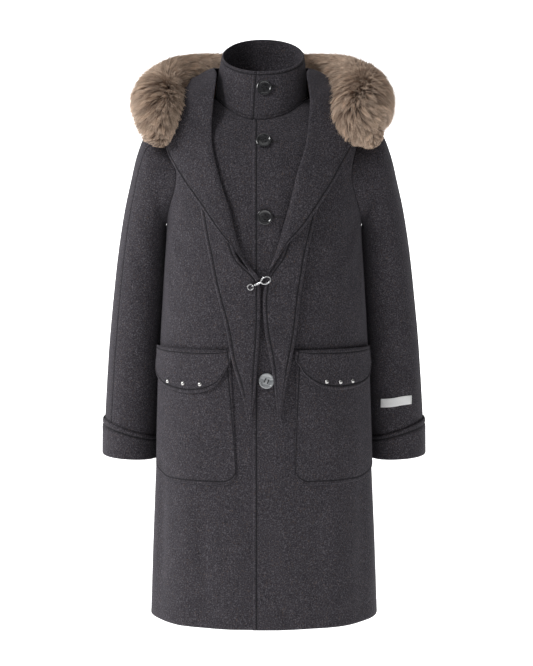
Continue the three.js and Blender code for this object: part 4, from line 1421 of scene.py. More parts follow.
@dataclass
class Fastenings:
    """The four buttons down the front with the buttonholes of three of them."""

    collar: StandCollar
    horn: Finish
    grey_horn: Finish
    thread: Finish
    spots: tuple[tuple[float, float], ...] = ((0, -88), (2, -227), (5, -530))
    hole_length: float = 17.0
    hole_start: float = 10.0
    collar_hole_length: float = 13.0
    collar_hole_v: float = 0.66
    collar_reach: float = 84.0

    def build(self) -> list[Piece]:
        """Builds the buttons and buttonholes."""
        pieces = []
        at = self.collar.point(0.0, self.collar_hole_v, STEP + 1, 0.0)
        at = np.array([1.0, at[1], at[2]])
        pieces += HornButton(1, at, np.array([0, -1, 0.2]), self.horn, "dark_button", self.thread, 38).build()
        for k, (x, z) in enumerate(self.spots):
            place, normal = FORM.on_front(x, z, STEP + 0.4), FORM.normal(*FORM.spot(x, z))
            last = k == 2
            horn, slot = (self.grey_horn, "grey_button") if last else (self.horn, "dark_button")
            pieces += HornButton(k + 2, place, normal, horn, slot, self.thread, 12 + 27 * k).build()
        for k, (x, z) in enumerate(self.spots[:2]):
            start = x + self.hole_start
            line = FORM.on_front(np.linspace(start, start + self.hole_length, 24), z, 0.0)
            pieces.append(self._hole(k + 2, line + stack(0.0, -STEP - 0.1, 0.0)))
        x = np.linspace(self.hole_start, self.hole_start + self.collar_hole_length, 24)
        turn = np.degrees(np.arcsin(np.clip((x - self.collar.shift) / self.collar_reach, -1, 1)))
        pieces.append(self._hole(1, self.collar.point(turn, self.collar_hole_v, 0.15, STEP)))
        return pieces

    def _hole(self, number: int, line: Grid) -> Piece:
        """Builds a worked buttonhole round a line: two rows of close stitches and a bar."""
        parts = []
        for shift in (-0.95, 0.95):
            row = line + stack(0.0, 0.0, shift)
            wave = 0.16 * np.sin(np.arange(len(line)) * 2.4)
            parts.append(tube(row + stack(0.0, -0.25 + 0 * wave, wave), 0.62, 7))
        end = np.stack([line[-1] + [0.3, -0.2, z] for z in (-1.7, 0.0, 1.7)])
        parts.append(tube(end, 0.7, 7))
        parts.append(tube(np.stack([line[0], line[-1]]), 0.42, 6))
        return hand_over(new_object(f"buttonhole_{number}", *joined(parts)), self.thread, "coat_wool")


@dataclass
class Clasp:
    """The snap hook that joins the two hood points: ring, swivel eye, shank and sprung loop."""

    metal: Finish
    wire: float = 1.3
    ring_wire: float = 1.0
    ring_radius: float = 5.2
    eye_radius: float = 2.6
    loop_long: float = 9.0
    loop_short: float = 6.2

    def _lift(self, x: float) -> float:
        """Height of the hook over the coat at x."""
        return float(tail_rise(x)) + STEP + 0.4 + self.wire + 1

    def build(self) -> list[Piece]:
        """Builds the ring and the hook."""
        ring_at = FORM.on_front(-24, -356, self._lift(-24) - 1.2)
        end = FORM.on_front(-4, -346.5, self._lift(-4) + 0.6)
        loop_at = FORM.on_front(3.6, -343.5, self._lift(4) + 0.8)
        flat = (end - ring_at) * np.array([1.0, 0.0, 1.0])
        eye_at = ring_at + unit(flat) * self.ring_radius
        turn = np.linspace(0, 2 * math.pi, 48, endpoint=False)
        ring = ring_at + stack(np.cos(turn), 0.0, np.sin(turn)) * self.ring_radius
        go = unit(end - eye_at)
        up = unit(np.array([0, 0, 1.0]) - go * go[2])
        out = np.cross(go, up)
        eye = eye_at + (np.cos(turn)[:, None] * go + np.sin(turn)[:, None] * out) * self.eye_radius
        start = eye_at + go * (self.eye_radius + 0.2)
        length = float(np.linalg.norm(end - start)) + 0.4
        bead = np.array([
            [0, 1.0], [0.5, 1.9], [1.4, 2.25], [2.3, 1.9], [2.8, 1.45], [3.4, 1.4], [3.9, 1.9], [4.6, 2.1],
            [length - 2.2, 1.9], [length - 1.0, 2.1], [length - 0.3, 1.7], [length, 1.2],
        ])
        shank = tube(start + bead[:, :1] * go, bead[:, 1], 20)
        cos, sin = np.cos(turn)[:, None], np.sin(turn)[:, None]
        loop = loop_at + cos * go * self.loop_long + sin * up * self.loop_short
        taper = self.wire * (1 - 0.18 * np.cos(turn - 0.4))
        knob = loop_at + go * -1.5 + up * (self.loop_short + np.array([0.4, 1.6, 2.6])[:, None])
        thumb = tube(knob, np.array([1.0, 1.0, 0.8]), 12)
        parts = [tube(eye, 0.85, 12, True), shank, tube(loop, taper, 14, True), thumb]
        pieces = []
        meshes = {"clasp_ring": tube(ring, self.ring_wire, 12, True), "clasp_hook": joined(parts)}
        for name, mesh in meshes.items():
            obj = new_object(name + "_metal", *mesh)
            face_out(obj)
            pieces.append(hand_over(obj, self.metal, "clasp_metal", name))
        return pieces


@dataclass
class SleeveLabel:
    """The bare woven tape sewn on the wearer's left sleeve, with its end stitches."""

    sleeve: Sleeve
    tape: Finish
    thread: Finish
    left: float = 228
    right: float = 286
    left_top: float = -581
    right_top: float = -574
    tall: float = 16.5
    thick: float = 1.0

    def _corners(self) -> Grid:
        """Turn and position of the four corners."""
        spots = []
        for x, top in ((self.left, self.left_top), (self.right, self.right_top)):
            spots.append([self.sleeve.form.spot(x, top - self.tall), self.sleeve.form.spot(x, top)])
        return np.array(spots)

    def build(self) -> list[Piece]:
        """Builds the tape and its stitches."""
        corner = self._corners()

        def at(u: Grid, v: Grid, lift: float) -> Grid:
            """Points over the sleeve's face."""
            u, v = np.broadcast_arrays(np.asarray(u, float)[..., None], np.asarray(v, float)[..., None])
            low, high = mix(corner[0, 0], corner[1, 0], u), mix(corner[0, 1], corner[1, 1], u)
            place = mix(low, high, v)
            return self.sleeve.form.point(place[..., 0], place[..., 1], lift)

        top = SEAM + self.thick + 0.2
        sampled = sample_surface(lambda u, v: at(u, v, top), (1.6, 1.4), (TAPE_EDGE,) * 4)
        shell = ClothShell("sleeve_label", sampled, self.sleeve.axis, self.thick)
        obj = hand_over(shell.build(), self.tape, "label_cloth", "sleeve_label")
        parts = []
        for u in (0.045, 0.955):
            for k in range(9):
                v = 0.08 + 0.84 * (k + np.array([0.0, 0.5, 0.9])) / 9
                lift = top + np.array([-0.1, 0.22, -0.1])
                parts.append(tube(np.stack([at(u, a, b) for a, b in zip(v, lift)]), 0.26, 6))
        seams = new_object("sleeve_label_stitches", *joined(parts))
        return [obj, hand_over(seams, self.thread, "label_cloth")]


@dataclass(frozen=True)
class FurStation:
    """A station of the fur's centre line with its radius."""

    x: float
    y: float
    z: float
    r: float


FUR_LINE = rows_of(
    FurStation,
    (-201, -84, -96, 9),
    (-200, -84, -88, 24),
    (-201, -79, -60, 42),
    (-201, -54, -20, 54),
    (-200, -7, 3, 54),
    (-172, 45, 28, 55),
    (-120, 98, 44, 50),
    (-60, 124, 50, 46),
    (0, 132, 50, 45),
    (60, 124, 50, 46),
    (116, 98, 43, 51),
    (158, 45, 24, 62),
    (184, -9, 0, 66),
    (183, -57, -26, 66),
    (185, -82, -54, 56),
    (200, -88, -82, 32),
    (206, -84, -96, 10),
)


@dataclass
class FurEdge:
    """The long-haired fur strip round the hood's edge, lying over shoulders and back."""

    fur: Finish
    neighbours: Sequence[Piece]
    seed: int = 41
    stretches: int = 8
    locks: int = 4300
    hairs: int = 24
    loose: int = 34000
    root_width: float = 0.9
    whorls: tuple[float, float] = (3.4, 12.6)
    waves: tuple[Triple, ...] = (
        (26, 0.9, 0.3), (41, -1.3, 1.9), (63, 1.7, 4.4), (97, -0.8, 2.6), (139, 1.1, 5.2), (17, 2.3, 0.9),
    )
    fan: float = 0.55

    def build(self) -> list[Piece]:
        """Builds the underfur and the hair, stretch by stretch."""
        self.table = np.array([[s.x, s.y, s.z, s.r] for s in FUR_LINE], float)
        self.last = len(self.table) - 1
        self.rng = np.random.default_rng(self.seed)
        self.trees = [BVHTree.FromObject(o, bpy.context.evaluated_depsgraph_get()) for o in self.neighbours]
        root, bend, tip, shade, u = self._strands()
        tip, keep = self._kept_clear(u, root, tip)
        pieces = [self._under()]
        for k in range(self.stretches):
            low, high = self.last * k / self.stretches, self.last * (k + 1) / self.stretches
            mine = keep & (u >= low) & ((u < high) | (k == self.stretches - 1))
            pieces.append(self._hair(k + 1, root[mine], bend[mine], tip[mine], shade[mine]))
        return pieces

    def _frame(self, u: Grid) -> tuple[Grid, Grid, Grid, Grid]:
        """Centre, radius, side and up directions at a position."""
        row = curve_through(self.table, u)
        ahead, behind = (curve_through(self.table, np.clip(u + e, 0, self.last)) for e in (0.05, -0.05))
        go = unit((ahead - behind)[..., :3])
        side = unit(np.cross(go, unit(np.array([0, 0.25, 1.0]))))
        return row[..., :3], row[..., 3], side, np.cross(side, go)

    def _ridge(self, u: Grid) -> Grid:
        """Turn of the ridge from which the hair parts."""
        _at, _r, side, up = self._frame(u)
        back = (1 - smooth(2.2, 6.0, np.abs(u - self.last / 2)))[..., None]
        sway = 0.16 * np.sin(u * 2.1 + 0.7)[..., None]
        lean = np.where(u < self.last / 2, 0.72, -0.08)[..., None]
        front = np.concatenate([lean + sway, -np.ones_like(lean), 0.42 + 0 * lean], -1)
        ahead = mix(front, np.array([0.0, 0.35, 1.0]), back)
        return np.arctan2((ahead * up).sum(-1), (ahead * side).sum(-1))

    def _streak(self, u: Grid, turn: Grid) -> Grid:
        """Streaks that run the way the hair lies, about -1 to 1."""
        a = np.radians(turn)
        total = sum(np.sin(k * u + m * a + phase + 1.3 * np.sin(a * 1.9 + k)) for k, m, phase in self.waves)
        return total / 2.6

    def _roots(self) -> tuple[Grid, Grid, Grid, Grid, Grid]:
        """Draws each hair's place, turn from the ridge, reach, tone and share in its lock's spread."""
        rng, weight = self.rng, self._girth_share()
        count = np.concatenate([np.full(self.locks, self.hairs), np.full(self.loose, 1)])
        many = len(count)
        u0 = np.interp(rng.random(many), weight, np.linspace(0, self.last, len(weight)))
        turn0 = rng.uniform(-176, 176, many)
        streak = self._streak(u0, turn0)
        reach0 = 0.97 + 0.035 * streak + rng.normal(0, 0.02, many)
        reach0 = np.where(count > 1, reach0, reach0 + np.abs(rng.normal(0, 0.06, many)))
        tone0 = np.clip(0.5 + 0.30 * streak + rng.normal(0, 0.10, many), 0, 1)
        of = np.repeat(np.arange(many), count)
        spread = np.stack([rng.normal(0, 0.035, len(of)), rng.normal(0, 5.0, len(of))])
        spread = np.where(count[of] > 1, spread, 0)
        reach = reach0[of] - np.abs(rng.normal(0, 0.03, len(of)))
        tone = np.clip(tone0[of] + rng.normal(0, 0.09, len(of)), 0, 1)
        return u0[of], turn0[of], reach, tone, spread

    def _girth_share(self) -> Grid:
        """Share of the fur's surface up to each of many positions."""
        u = np.linspace(0, self.last, 400)
        row = curve_through(self.table, u)
        step = np.linalg.norm(np.diff(row[:, :3], axis=0), axis=1)
        share = np.concatenate([[0], np.cumsum(step * (row[1:, 3] + row[:-1, 3]) / 2)])
        return share / share[-1]

    def _strands(self) -> tuple[Grid, Grid, Grid, Grid, Grid]:
        """Root, bend and tip of each hair, its tone and its place along the fur."""
        u0, turn0, reach, tone, spread = self._roots()
        side = smooth(0, 50, np.abs(turn0))
        drift = (0.10 * np.sin(u0 * 3.7 + turn0 * 0.035) + 0.05 * np.sin(u0 * 9.1 - turn0 * 0.02)) * side
        for centre in self.whorls:
            off = u0 - centre
            near = np.exp(-((off / 2.1) ** 2))
            drift = drift + self.fan * off * near * (1 - smooth(60, 130, np.abs(turn0)))
        drift = drift + self.rng.normal(0, 0.010, len(u0))

        def at(part: float, out: Grid, along: Grid, width: float) -> Grid:
            """Points at a part of the turn and of the radius, moved along, at a share of the lock's width."""
            where = np.clip(u0 + along + spread[0] * width, 0, self.last)
            centre, r, side, up = self._frame(where)
            b = self._ridge(where) + np.radians(turn0 * part + spread[1] * width)
            return centre + (side * np.cos(b)[:, None] + up * np.sin(b)[:, None]) * (r * out)[:, None]

        lift = self.rng.normal(0, 0.02, len(u0))
        root = at(0.40, np.full(len(u0), 0.62), 0 * u0, 1.0)
        bend = at(0.68, 0.95 + lift + 0.05 * np.cos(np.radians(turn0)), drift * 0.45, 0.85)
        tip = at(1.0, reach, drift, 0.45)
        return root, bend, tip, tone, np.clip(u0, 0, self.last)

    def _kept_clear(self, u: Grid, root: Grid, tip: Grid) -> tuple[Grid, Grid]:
        """Shortens hairs that would run into the sleeves or the coat and drops stubs."""
        centre = self._frame(u)[0]
        tip, keep = tip.copy(), np.ones(len(u), bool)
        for k in range(len(u)):
            start = Vector(centre[k] * MM)
            line = Vector(tip[k] * MM) - start
            length = line.length
            for tree in self.trees:
                hit = tree.ray_cast(start, line, length)
                if hit[0] is not None:
                    part = hit[3] / length
                    if part < 0.55:
                        keep[k] = False
                    tip[k] = centre[k] + (tip[k] - centre[k]) * max(part - 0.02, 0.05)
                    line, length = line * part, hit[3]
        return tip, keep

    def _hair(self, number: int, root: Grid, bend: Grid, tip: Grid, tone: Grid) -> Piece:
        """Builds one stretch of hair: thin tapering ribbons of three steps."""
        n, rng = len(root), np.random.default_rng(self.seed + number)
        steps = np.array([0.0, 0.38, 0.72, 1.0])
        t = steps[None, :, None]
        path = root[:, None] * (1 - t) ** 2 + 2 * bend[:, None] * t * (1 - t) + tip[:, None] * t * t
        go = unit(tip - root)
        wide = unit(np.cross(go, unit(rng.normal(0, 1, (n, 3)))))
        width = self.root_width * rng.uniform(0.6, 1.15, n)
        points = np.zeros((n, 7, 3))
        for k, share in enumerate((0.75, 1.0, 0.7)):
            half = wide * (width * share / 2)[:, None]
            points[:, 2 * k], points[:, 2 * k + 1] = path[:, k] - half, path[:, k] + half
        points[:, 6] = path[:, 3]
        base = (np.arange(n) * 7)[:, None]
        quads = np.concatenate([base + np.array([0, 1, 3, 2]), base + np.array([2, 3, 5, 4])])
        tris = base + np.array([4, 5, 6])
        obj = new_object(f"fur_hair_{number}", points.reshape(-1, 3), quads, tris)
        set_attribute(obj, "along", np.tile(np.repeat(steps, 2)[:7], n))
        set_attribute(obj, "tone", np.repeat(tone, 7))
        return hand_over(obj, self.fur, "fur")

    def _under(self) -> Piece:
        """Builds the dense underfur, pressed in where cloth lies against it."""
        u = np.linspace(0.15, self.last - 0.15, 120)
        turn = circle(44)
        centre, r, side, up = self._frame(u)
        uu, tt = np.meshgrid(u, turn, indexing="ij")
        rough = 1 + 0.03 * np.sin(uu * 11 + tt * 3) + 0.03 * np.sin(uu * 5 - tt * 5)
        ring = side[:, None] * np.cos(turn)[:, None] + up[:, None] * np.sin(turn)[:, None]
        points = centre[:, None] + ring * (0.74 * r[:, None] * rough)[..., None]
        clear = self._drawn_in(np.repeat(centre, len(turn), 0), points.reshape(-1, 3))
        ends = np.concatenate([clear, centre[:1], centre[-1:]])
        obj = new_object("fur_under", ends, *ring_faces(len(u), len(turn)))
        set_attribute(obj, "along", np.full(len(ends), 0.22))
        set_attribute(obj, "tone", np.full(len(ends), 0.4))
        return hand_over(obj, self.fur, "fur", "fur_trim")

    def _drawn_in(self, centre: Grid, points: Grid) -> Grid:
        """Draws points in along the line from their centre until they clear the cloth."""
        out = points.copy()
        for k in range(len(points)):
            start = Vector(centre[k] * MM)
            line = Vector(out[k] * MM) - start
            for tree in self.trees:
                hit = tree.ray_cast(start, line, line.length)
                if hit[0] is not None:
                    part = max(hit[3] / line.length - 0.03, 0.02)
                    out[k] = centre[k] + (out[k] - centre[k]) * part
                    line = line * part
        return out


class Graph:
    """Short way to place and join shader nodes in one tree."""

    def __init__(self, tree: bpy.types.NodeTree) -> None:
        """Keeps the tree."""
        self.tree = tree

    def node(self, kind: str, inputs: dict | None = None, **settings: object) -> bpy.types.Node:
        """Places a node.

        Args:
            kind: node type without its ShaderNode prefix, or a full name that starts with Node.
            inputs: socket names or numbers, with values or the output sockets that feed them.
            settings: the node's own options.

        Returns:
            The node.
        """
        made = self.tree.nodes.new(kind if kind.startswith("Node") else "ShaderNode" + kind)
        for name, value in settings.items():
            setattr(made, name, value)
        self.feed(made, inputs or {})
        return made

    def feed(self, made: bpy.types.Node, inputs: dict) -> None:
        """Joins output sockets to a node's inputs, or sets their values."""
        for name, value in inputs.items():
            if isinstance(value, Socket):
                self.tree.links.new(value, made.inputs[name])
            else:
                made.inputs[name].default_value = value

    def ramp(self, factor: Socket, *stops: tuple[float, Sequence[float]]) -> Socket:
        """Colour ramp over a factor."""
        made = self.node("ValToRGB", {0: factor})
        bar = made.color_ramp
        while len(bar.elements) < len(stops):
            bar.elements.new(0.5)
        for element, (place, colour) in zip(bar.elements, stops):
            element.position, element.color = place, (*colour, 1.0)
        return made.outputs[0]

    def blend(self, how: str, factor: object, a: object, b: object) -> Socket:
        """Mixes two colours."""
        return self.node("Mix", {0: factor, 6: a, 7: b}, data_type="RGBA", blend_type=how).outputs[2]

    def maths(self, how: str, a: object, b: object = 0.0, c: object = 0.0) -> Socket:
        """A sum, product or other operation on numbers."""
        return self.node("Math", {0: a, 1: b, 2: c}, operation=how).outputs[0]

    def noise(self, where: Socket, scale: object, **more: float) -> Socket:
        """Noise at a scale, with its other inputs by name."""
        return self.node("TexNoise", {"Vector": where, "Scale": scale, **more}).outputs["Fac"]

    def bump(self, height: Socket, strength: float, distance: float) -> Socket:
        """Normals raised by a height, over a distance in metres."""
        return self.node("Bump", {"Height": height, "Strength": strength, "Distance": distance}).outputs[0]

    def mark(self, name: str) -> Socket:
        """A number that the mesh carries under a name."""
        return self.node("Attribute", attribute_name=name).outputs["Fac"]


def effect_group(
    name: str, inputs: Sequence[tuple[str, str, object]], outputs: Sequence[tuple[str, str]]
) -> Graph:
    """Starts a shader node group.

    Args:
        name: the group's name.
        inputs: name, socket type and value of each input.
        outputs: name and socket type of each output.

    Returns:
        The graph of the group.
    """
    tree = bpy.data.node_groups.new(name, "ShaderNodeTree")
    for label, kind, value in inputs:
        socket = tree.interface.new_socket(label, in_out="INPUT", socket_type=kind)
        socket.default_value = value
    for label, kind in outputs:
        tree.interface.new_socket(label, in_out="OUTPUT", socket_type=kind)
    return Graph(tree)


def wool_group() -> bpy.types.NodeTree:
    """Melange: flecks of dark, plain and light fibre with a felted height."""
    g = effect_group(
        "wool_melange",
        [(name, "NodeSocketColor", (0, 0, 0, 1)) for name in ("Dark", "Plain", "Light", "Warm")],
        [("Color", "NodeSocketColor"), ("Height", "NodeSocketFloat"), ("Rough", "NodeSocketFloat")],
    )
    given = g.node("NodeGroupInput").outputs
    place = g.node("TexCoord").outputs["Object"]
    fine = g.noise(place, 880.0, Detail=2.0, Roughness=0.6)
    fleck = g.noise(place, 430.0, Detail=1.5, Roughness=0.5)
    warm = g.noise(place, 400.0, Detail=1.0)
    cloud = g.noise(place, 26.0, Detail=3.0, Roughness=0.55)
    fuzz = g.noise(place, 1500.0, Detail=2.0)
    tone = g.maths("MULTIPLY_ADD", fleck, 0.62, g.maths("MULTIPLY", fine, 0.38))
    dark = g.ramp(tone, (0.36, WHITE), (0.485, BLACK))
    light = g.ramp(tone, (0.53, BLACK), (0.67, WHITE))
    brown = g.ramp(warm, (0.63, BLACK), (0.72, WHITE))
    colour = g.blend("MIX", dark, given["Plain"], given["Dark"])
    colour = g.blend("MIX", light, colour, given["Light"])
    colour = g.blend("MIX", g.maths("MULTIPLY", brown, 0.55), colour, given["Warm"])
    patch = g.ramp(cloud, (0.3, (0.9, 0.9, 0.91)), (0.7, (1.08, 1.07, 1.07)))
    colour = g.blend("MULTIPLY", 1.0, colour, patch)
    height = g.maths("MULTIPLY_ADD", fine, 0.5, g.maths("MULTIPLY", fuzz, 0.3))
    height = g.maths("MULTIPLY_ADD", fleck, 0.6, height)
    rough = g.maths("MULTIPLY_ADD", fine, 0.16, 0.8)
    g.node("NodeGroupOutput", {"Color": colour, "Height": height, "Rough": rough})
    return g.tree


def grain_group() -> bpy.types.NodeTree:
    """Streaks and cloudiness of horn, metal and thread: a mask, a fine mask and a height."""
    g = effect_group(
        "fine_grain",
        [("Scale", "NodeSocketFloat", 100.0), ("Stretch", "NodeSocketVector", (1, 1, 1))],
        [("Streak", "NodeSocketFloat"), ("Fine", "NodeSocketFloat"), ("Height", "NodeSocketFloat")],
    )
    given = g.node("NodeGroupInput").outputs
    place = g.node("TexCoord").outputs["Object"]
    pulled = g.node("VectorMath", {0: place, 1: given["Stretch"]}, operation="MULTIPLY").outputs[0]
    streak = g.noise(pulled, given["Scale"], Detail=4.0, Distortion=1.2)
    fine = g.noise(place, g.maths("MULTIPLY", given["Scale"], 7.0), Detail=2.0)
    height = g.maths("MULTIPLY_ADD", streak, 0.4, g.maths("MULTIPLY", fine, 0.6))
    g.node("NodeGroupOutput", {"Streak": streak, "Fine": fine, "Height": height})
    return g.tree


@dataclass
class Palette:
    """The shared effects, built once."""

    melange: bpy.types.NodeTree = field(default_factory=wool_group)
    grain: bpy.types.NodeTree = field(default_factory=grain_group)


def new_material(name: str) -> tuple[Finish, Graph, bpy.types.Node]:
    """Starts a material with its shader and returns it, its graph and the shader."""
    made = bpy.data.materials.new(name)
    made.use_nodes = True
    graph = Graph(made.node_tree)
    made.node_tree.nodes.clear()
    shader = graph.node("BsdfPrincipled")
    graph.node("OutputMaterial", {"Surface": shader.outputs[0]})
    return made, graph, shader


@dataclass(frozen=True)
class WoolFinish:
    """Felted melange overcoat wool, darkened by painted shade where the mesh's 'seam' mark says."""

    name: str = "melange_wool"
    dark: Triple = (0.013, 0.012, 0.015)
    plain: Triple = (0.039, 0.0355, 0.042)
    light: Triple = (0.112, 0.104, 0.118)
    warm: Triple = (0.10, 0.068, 0.052)
    # Near-black colour of the painted shade in grooves and along edges.
    painted_shade_colour: tuple[float, ...] = (0.006, 0.006, 0.007, 1)
    sheen: float = 0.1
    bump: float = 0.4
    # Strength of that painted shade.
    painted_shade_strength: float = 0.6

    def build(self, palette: Palette) -> Finish:
        """Builds the material."""
        made, g, shader = new_material(self.name)
        colours = {"Dark": self.dark, "Plain": self.plain, "Light": self.light, "Warm": self.warm}
        colours = {name: (*value, 1) for name, value in colours.items()}
        wool = g.node("Group", colours, node_tree=palette.melange)
        # Painted shade: the 'seam' mark blends the wool toward a near-black in grooves, seams and along
        # edges.
        painted_shade = g.maths("MULTIPLY", g.mark("seam"), self.painted_shade_strength)
        g.feed(shader, {
            "Base Color": g.blend("MIX", painted_shade, wool.outputs["Color"], self.painted_shade_colour),
            "Roughness": wool.outputs["Rough"],
            "Normal": g.bump(wool.outputs["Height"], self.bump, 0.0011),
            "Specular IOR Level": 0.18,
            "Sheen Weight": self.sheen,
            "Sheen Roughness": 0.55,
            "Sheen Tint": (0.75, 0.73, 0.82, 1),
        })
        return made


@dataclass(frozen=True)
class FurFinish:
    """Long fox-like hair, darker and greyer at its root."""

    name: str = "long_fur"
    root: Triple = (0.1, 0.069, 0.051)
    middle: Triple = (0.4, 0.288, 0.217)
    tip: Triple = (0.74, 0.6, 0.48)

    def build(self, palette: Palette) -> Finish:
        """Builds the material."""
        made, g, shader = new_material(self.name)
        colour = g.ramp(g.mark("along"), (0.1, self.root), (0.55, self.middle), (1.0, self.tip))
        shade = g.ramp(g.mark("tone"), (0.0, (0.62, 0.6, 0.6)), (1.0, (1.3, 1.27, 1.22)))
        grain = g.node("Group", {"Scale": 60.0}, node_tree=palette.grain)
        patch = g.ramp(grain.outputs["Streak"], (0.3, (0.86, 0.85, 0.85)), (0.7, (1.1, 1.1, 1.1)))
        g.feed(shader, {
            "Base Color": g.blend("MULTIPLY", 1.0, g.blend("MULTIPLY", 1.0, colour, shade), patch),
            "Roughness": g.maths("MULTIPLY_ADD", grain.outputs["Fine"], 0.2, 0.42),
            "Specular IOR Level": 0.3,
            "Sheen Weight": 0.1,
        })
        return made


@dataclass(frozen=True)
class HornFinish:
    """Polished horn with cloudy streaks."""

    name: str
    deep: Triple
    cloud: Triple
    rough: float = 0.16

    def build(self, palette: Palette) -> Finish:
        """Builds the material."""
        made, g, shader = new_material(self.name)
        grain = g.node("Group", {"Scale": 55.0, "Stretch": (1.0, 1.0, 2.4)}, node_tree=palette.grain)
        g.feed(shader, {
            "Base Color": g.ramp(grain.outputs["Streak"], (0.35, self.deep), (0.72, self.cloud)),
            "Roughness": g.maths("MULTIPLY_ADD", grain.outputs["Fine"], 0.14, self.rough),
            "Normal": g.bump(grain.outputs["Height"], 0.05, 0.0006),
            "Coat Weight": 0.5,
            "Coat Roughness": 0.08,
        })
        return made


def dulled(colour: Triple) -> Triple:
    """The darker tone between scratches or threads."""
    return tuple(0.72 * c for c in colour)


@dataclass(frozen=True)
class MetalFinish:
    """Plated metal with fine scratches."""

    name: str
    colour: Triple
    rough: float

    def build(self, palette: Palette) -> Finish:
        """Builds the material."""
        made, g, shader = new_material(self.name)
        grain = g.node("Group", {"Scale": 240.0, "Stretch": (0.4, 1.0, 1.6)}, node_tree=palette.grain)
        g.feed(shader, {
            "Base Color": g.ramp(grain.outputs["Streak"], (0.3, dulled(self.colour)), (0.6, self.colour)),
            "Roughness": g.maths("MULTIPLY_ADD", grain.outputs["Fine"], 0.16, self.rough),
            "Normal": g.bump(grain.outputs["Height"], 0.06, 0.0003),
            "Metallic": 1.0,
        })
        return made


class Weave(Enum):
    """Ways the small woven things are made, with their threads per metre."""

    TAPE = 1500.0
    TWIST = 2600.0


@dataclass(frozen=True)
class ThreadFinish:
    """Woven tape or twisted thread."""

    name: str
    colour: Triple
    weave: Weave

    def build(self, palette: Palette) -> Finish:
        """Builds the material."""
        made, g, shader = new_material(self.name)
        place = g.node("TexCoord").outputs["Object"]
        grain = g.node("Group", {"Scale": 400.0}, node_tree=palette.grain)
        wave = {"Vector": place, "Scale": self.weave.value / 3, "Distortion": 1.5, "Detail": 1.0}
        rib = g.node("TexWave", wave, bands_direction="Z").outputs["Fac"]
        mixed = g.maths("MULTIPLY_ADD", rib, 0.5, g.maths("MULTIPLY", grain.outputs["Fine"], 0.5))
        g.feed(shader, {
            "Base Color": g.ramp(mixed, (0.15, dulled(self.colour)), (0.6, self.colour)),
            "Roughness": g.maths("MULTIPLY_ADD", grain.outputs["Streak"], 0.2, 0.62),
            "Normal": g.bump(mixed, 0.5, 0.0003),
        })
        return made


@dataclass(frozen=True)
class Lamp:
    """A soft square light that looks at the coat: place and size in metres, power in watts."""

    name: str
    place: Triple
    size: float
    power: float


LAMPS = (
    Lamp("key", (-2.3, -1.6, 1.7), 1.0, 64.0),
    Lamp("side", (-2.6, 0.1, 0.3), 1.2, 26.0),
    Lamp("fill", (1.2, -3.2, -0.2), 2.2, 3.0),
    Lamp("top", (0.0, -0.3, 2.4), 2.0, 9.0),
)


@dataclass
class Studio:
    """Pale floor, white backdrop, soft lights and the camera."""

    floor_z: float = -1.5
    camera_at: Triple = (0.0049, -3.0, -0.195)
    target: Triple = (0.0049, 0.0, -0.454)
    lens: float = 83.46
    lit_spot: Triple = (0.0, 0.0, -0.4)
    air: float = 0.15
    reach: float = 4200.0
    wall_y: float = 3600.0
    sweep: float = 600.0

    def build(self) -> None:
        """Builds everything."""
        scene = bpy.context.scene
        camera = bpy.data.cameras.new("camera")
        camera.lens, camera.sensor_width, camera.sensor_fit = self.lens, 36.0, "AUTO"
        scene.camera = self._placed("camera", camera, self.camera_at, self.target)
        self._room()
        for lamp in LAMPS:
            data = bpy.data.lights.new(lamp.name, "AREA")
            data.size, data.energy = lamp.size, lamp.power
            self._placed(lamp.name, data, lamp.place, self.lit_spot)
        scene.world = bpy.data.worlds.new("studio_air")
        scene.world.use_nodes = True
        air = scene.world.node_tree.nodes["Background"]
        air.inputs[0].default_value, air.inputs[1].default_value = (1, 1, 1, 1), self.air
        scene.view_settings.view_transform, scene.view_settings.look = "Standard", "None"

    def _placed(self, name: str, data: bpy.types.ID, place: Triple, target: Triple) -> Piece:
        """Places a camera or light so that it looks at a target."""
        obj = bpy.data.objects.new(name, data)
        obj.location = place
        obj.rotation_euler = (Vector(target) - Vector(place)).to_track_quat("-Z", "Y").to_euler()
        bpy.context.scene.collection.objects.link(obj)
        return obj

    def _room(self) -> None:
        """Lays the floor with its back swept up into the backdrop."""
        made, graph, shader = new_material("paper_sweep")
        glow = {"Emission Color": (1, 1, 1, 1), "Emission Strength": 0.97}
        graph.feed(shader, {"Base Color": (0.93, 0.93, 0.93, 1), "Roughness": 0.9, **glow})
        floor, top = self.floor_z / MM, self.floor_z / MM + self.reach
        t = np.linspace(0, math.pi / 2, 14)
        y = np.concatenate([[-self.reach], self.wall_y + self.sweep * np.sin(t), [self.wall_y + self.sweep]])
        z = np.concatenate([[floor], floor + self.sweep * (1 - np.cos(t)), [top]])
        x = np.array([-self.reach, self.reach])
        points = stack(x[None, :], y[:, None], z[:, None]).reshape(-1, 3)
        index = np.arange(len(points)).reshape(-1, 2)
        quads = np.stack([index[:-1, 0], index[:-1, 1], index[1:, 1], index[1:, 0]], -1)
        obj = new_object("paper_sweep", points, quads)
        obj.data.materials.append(made)
        obj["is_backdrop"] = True


SLEEVE_SEAMS = {Side.RIGHT: 50.0, Side.LEFT: 22.0}
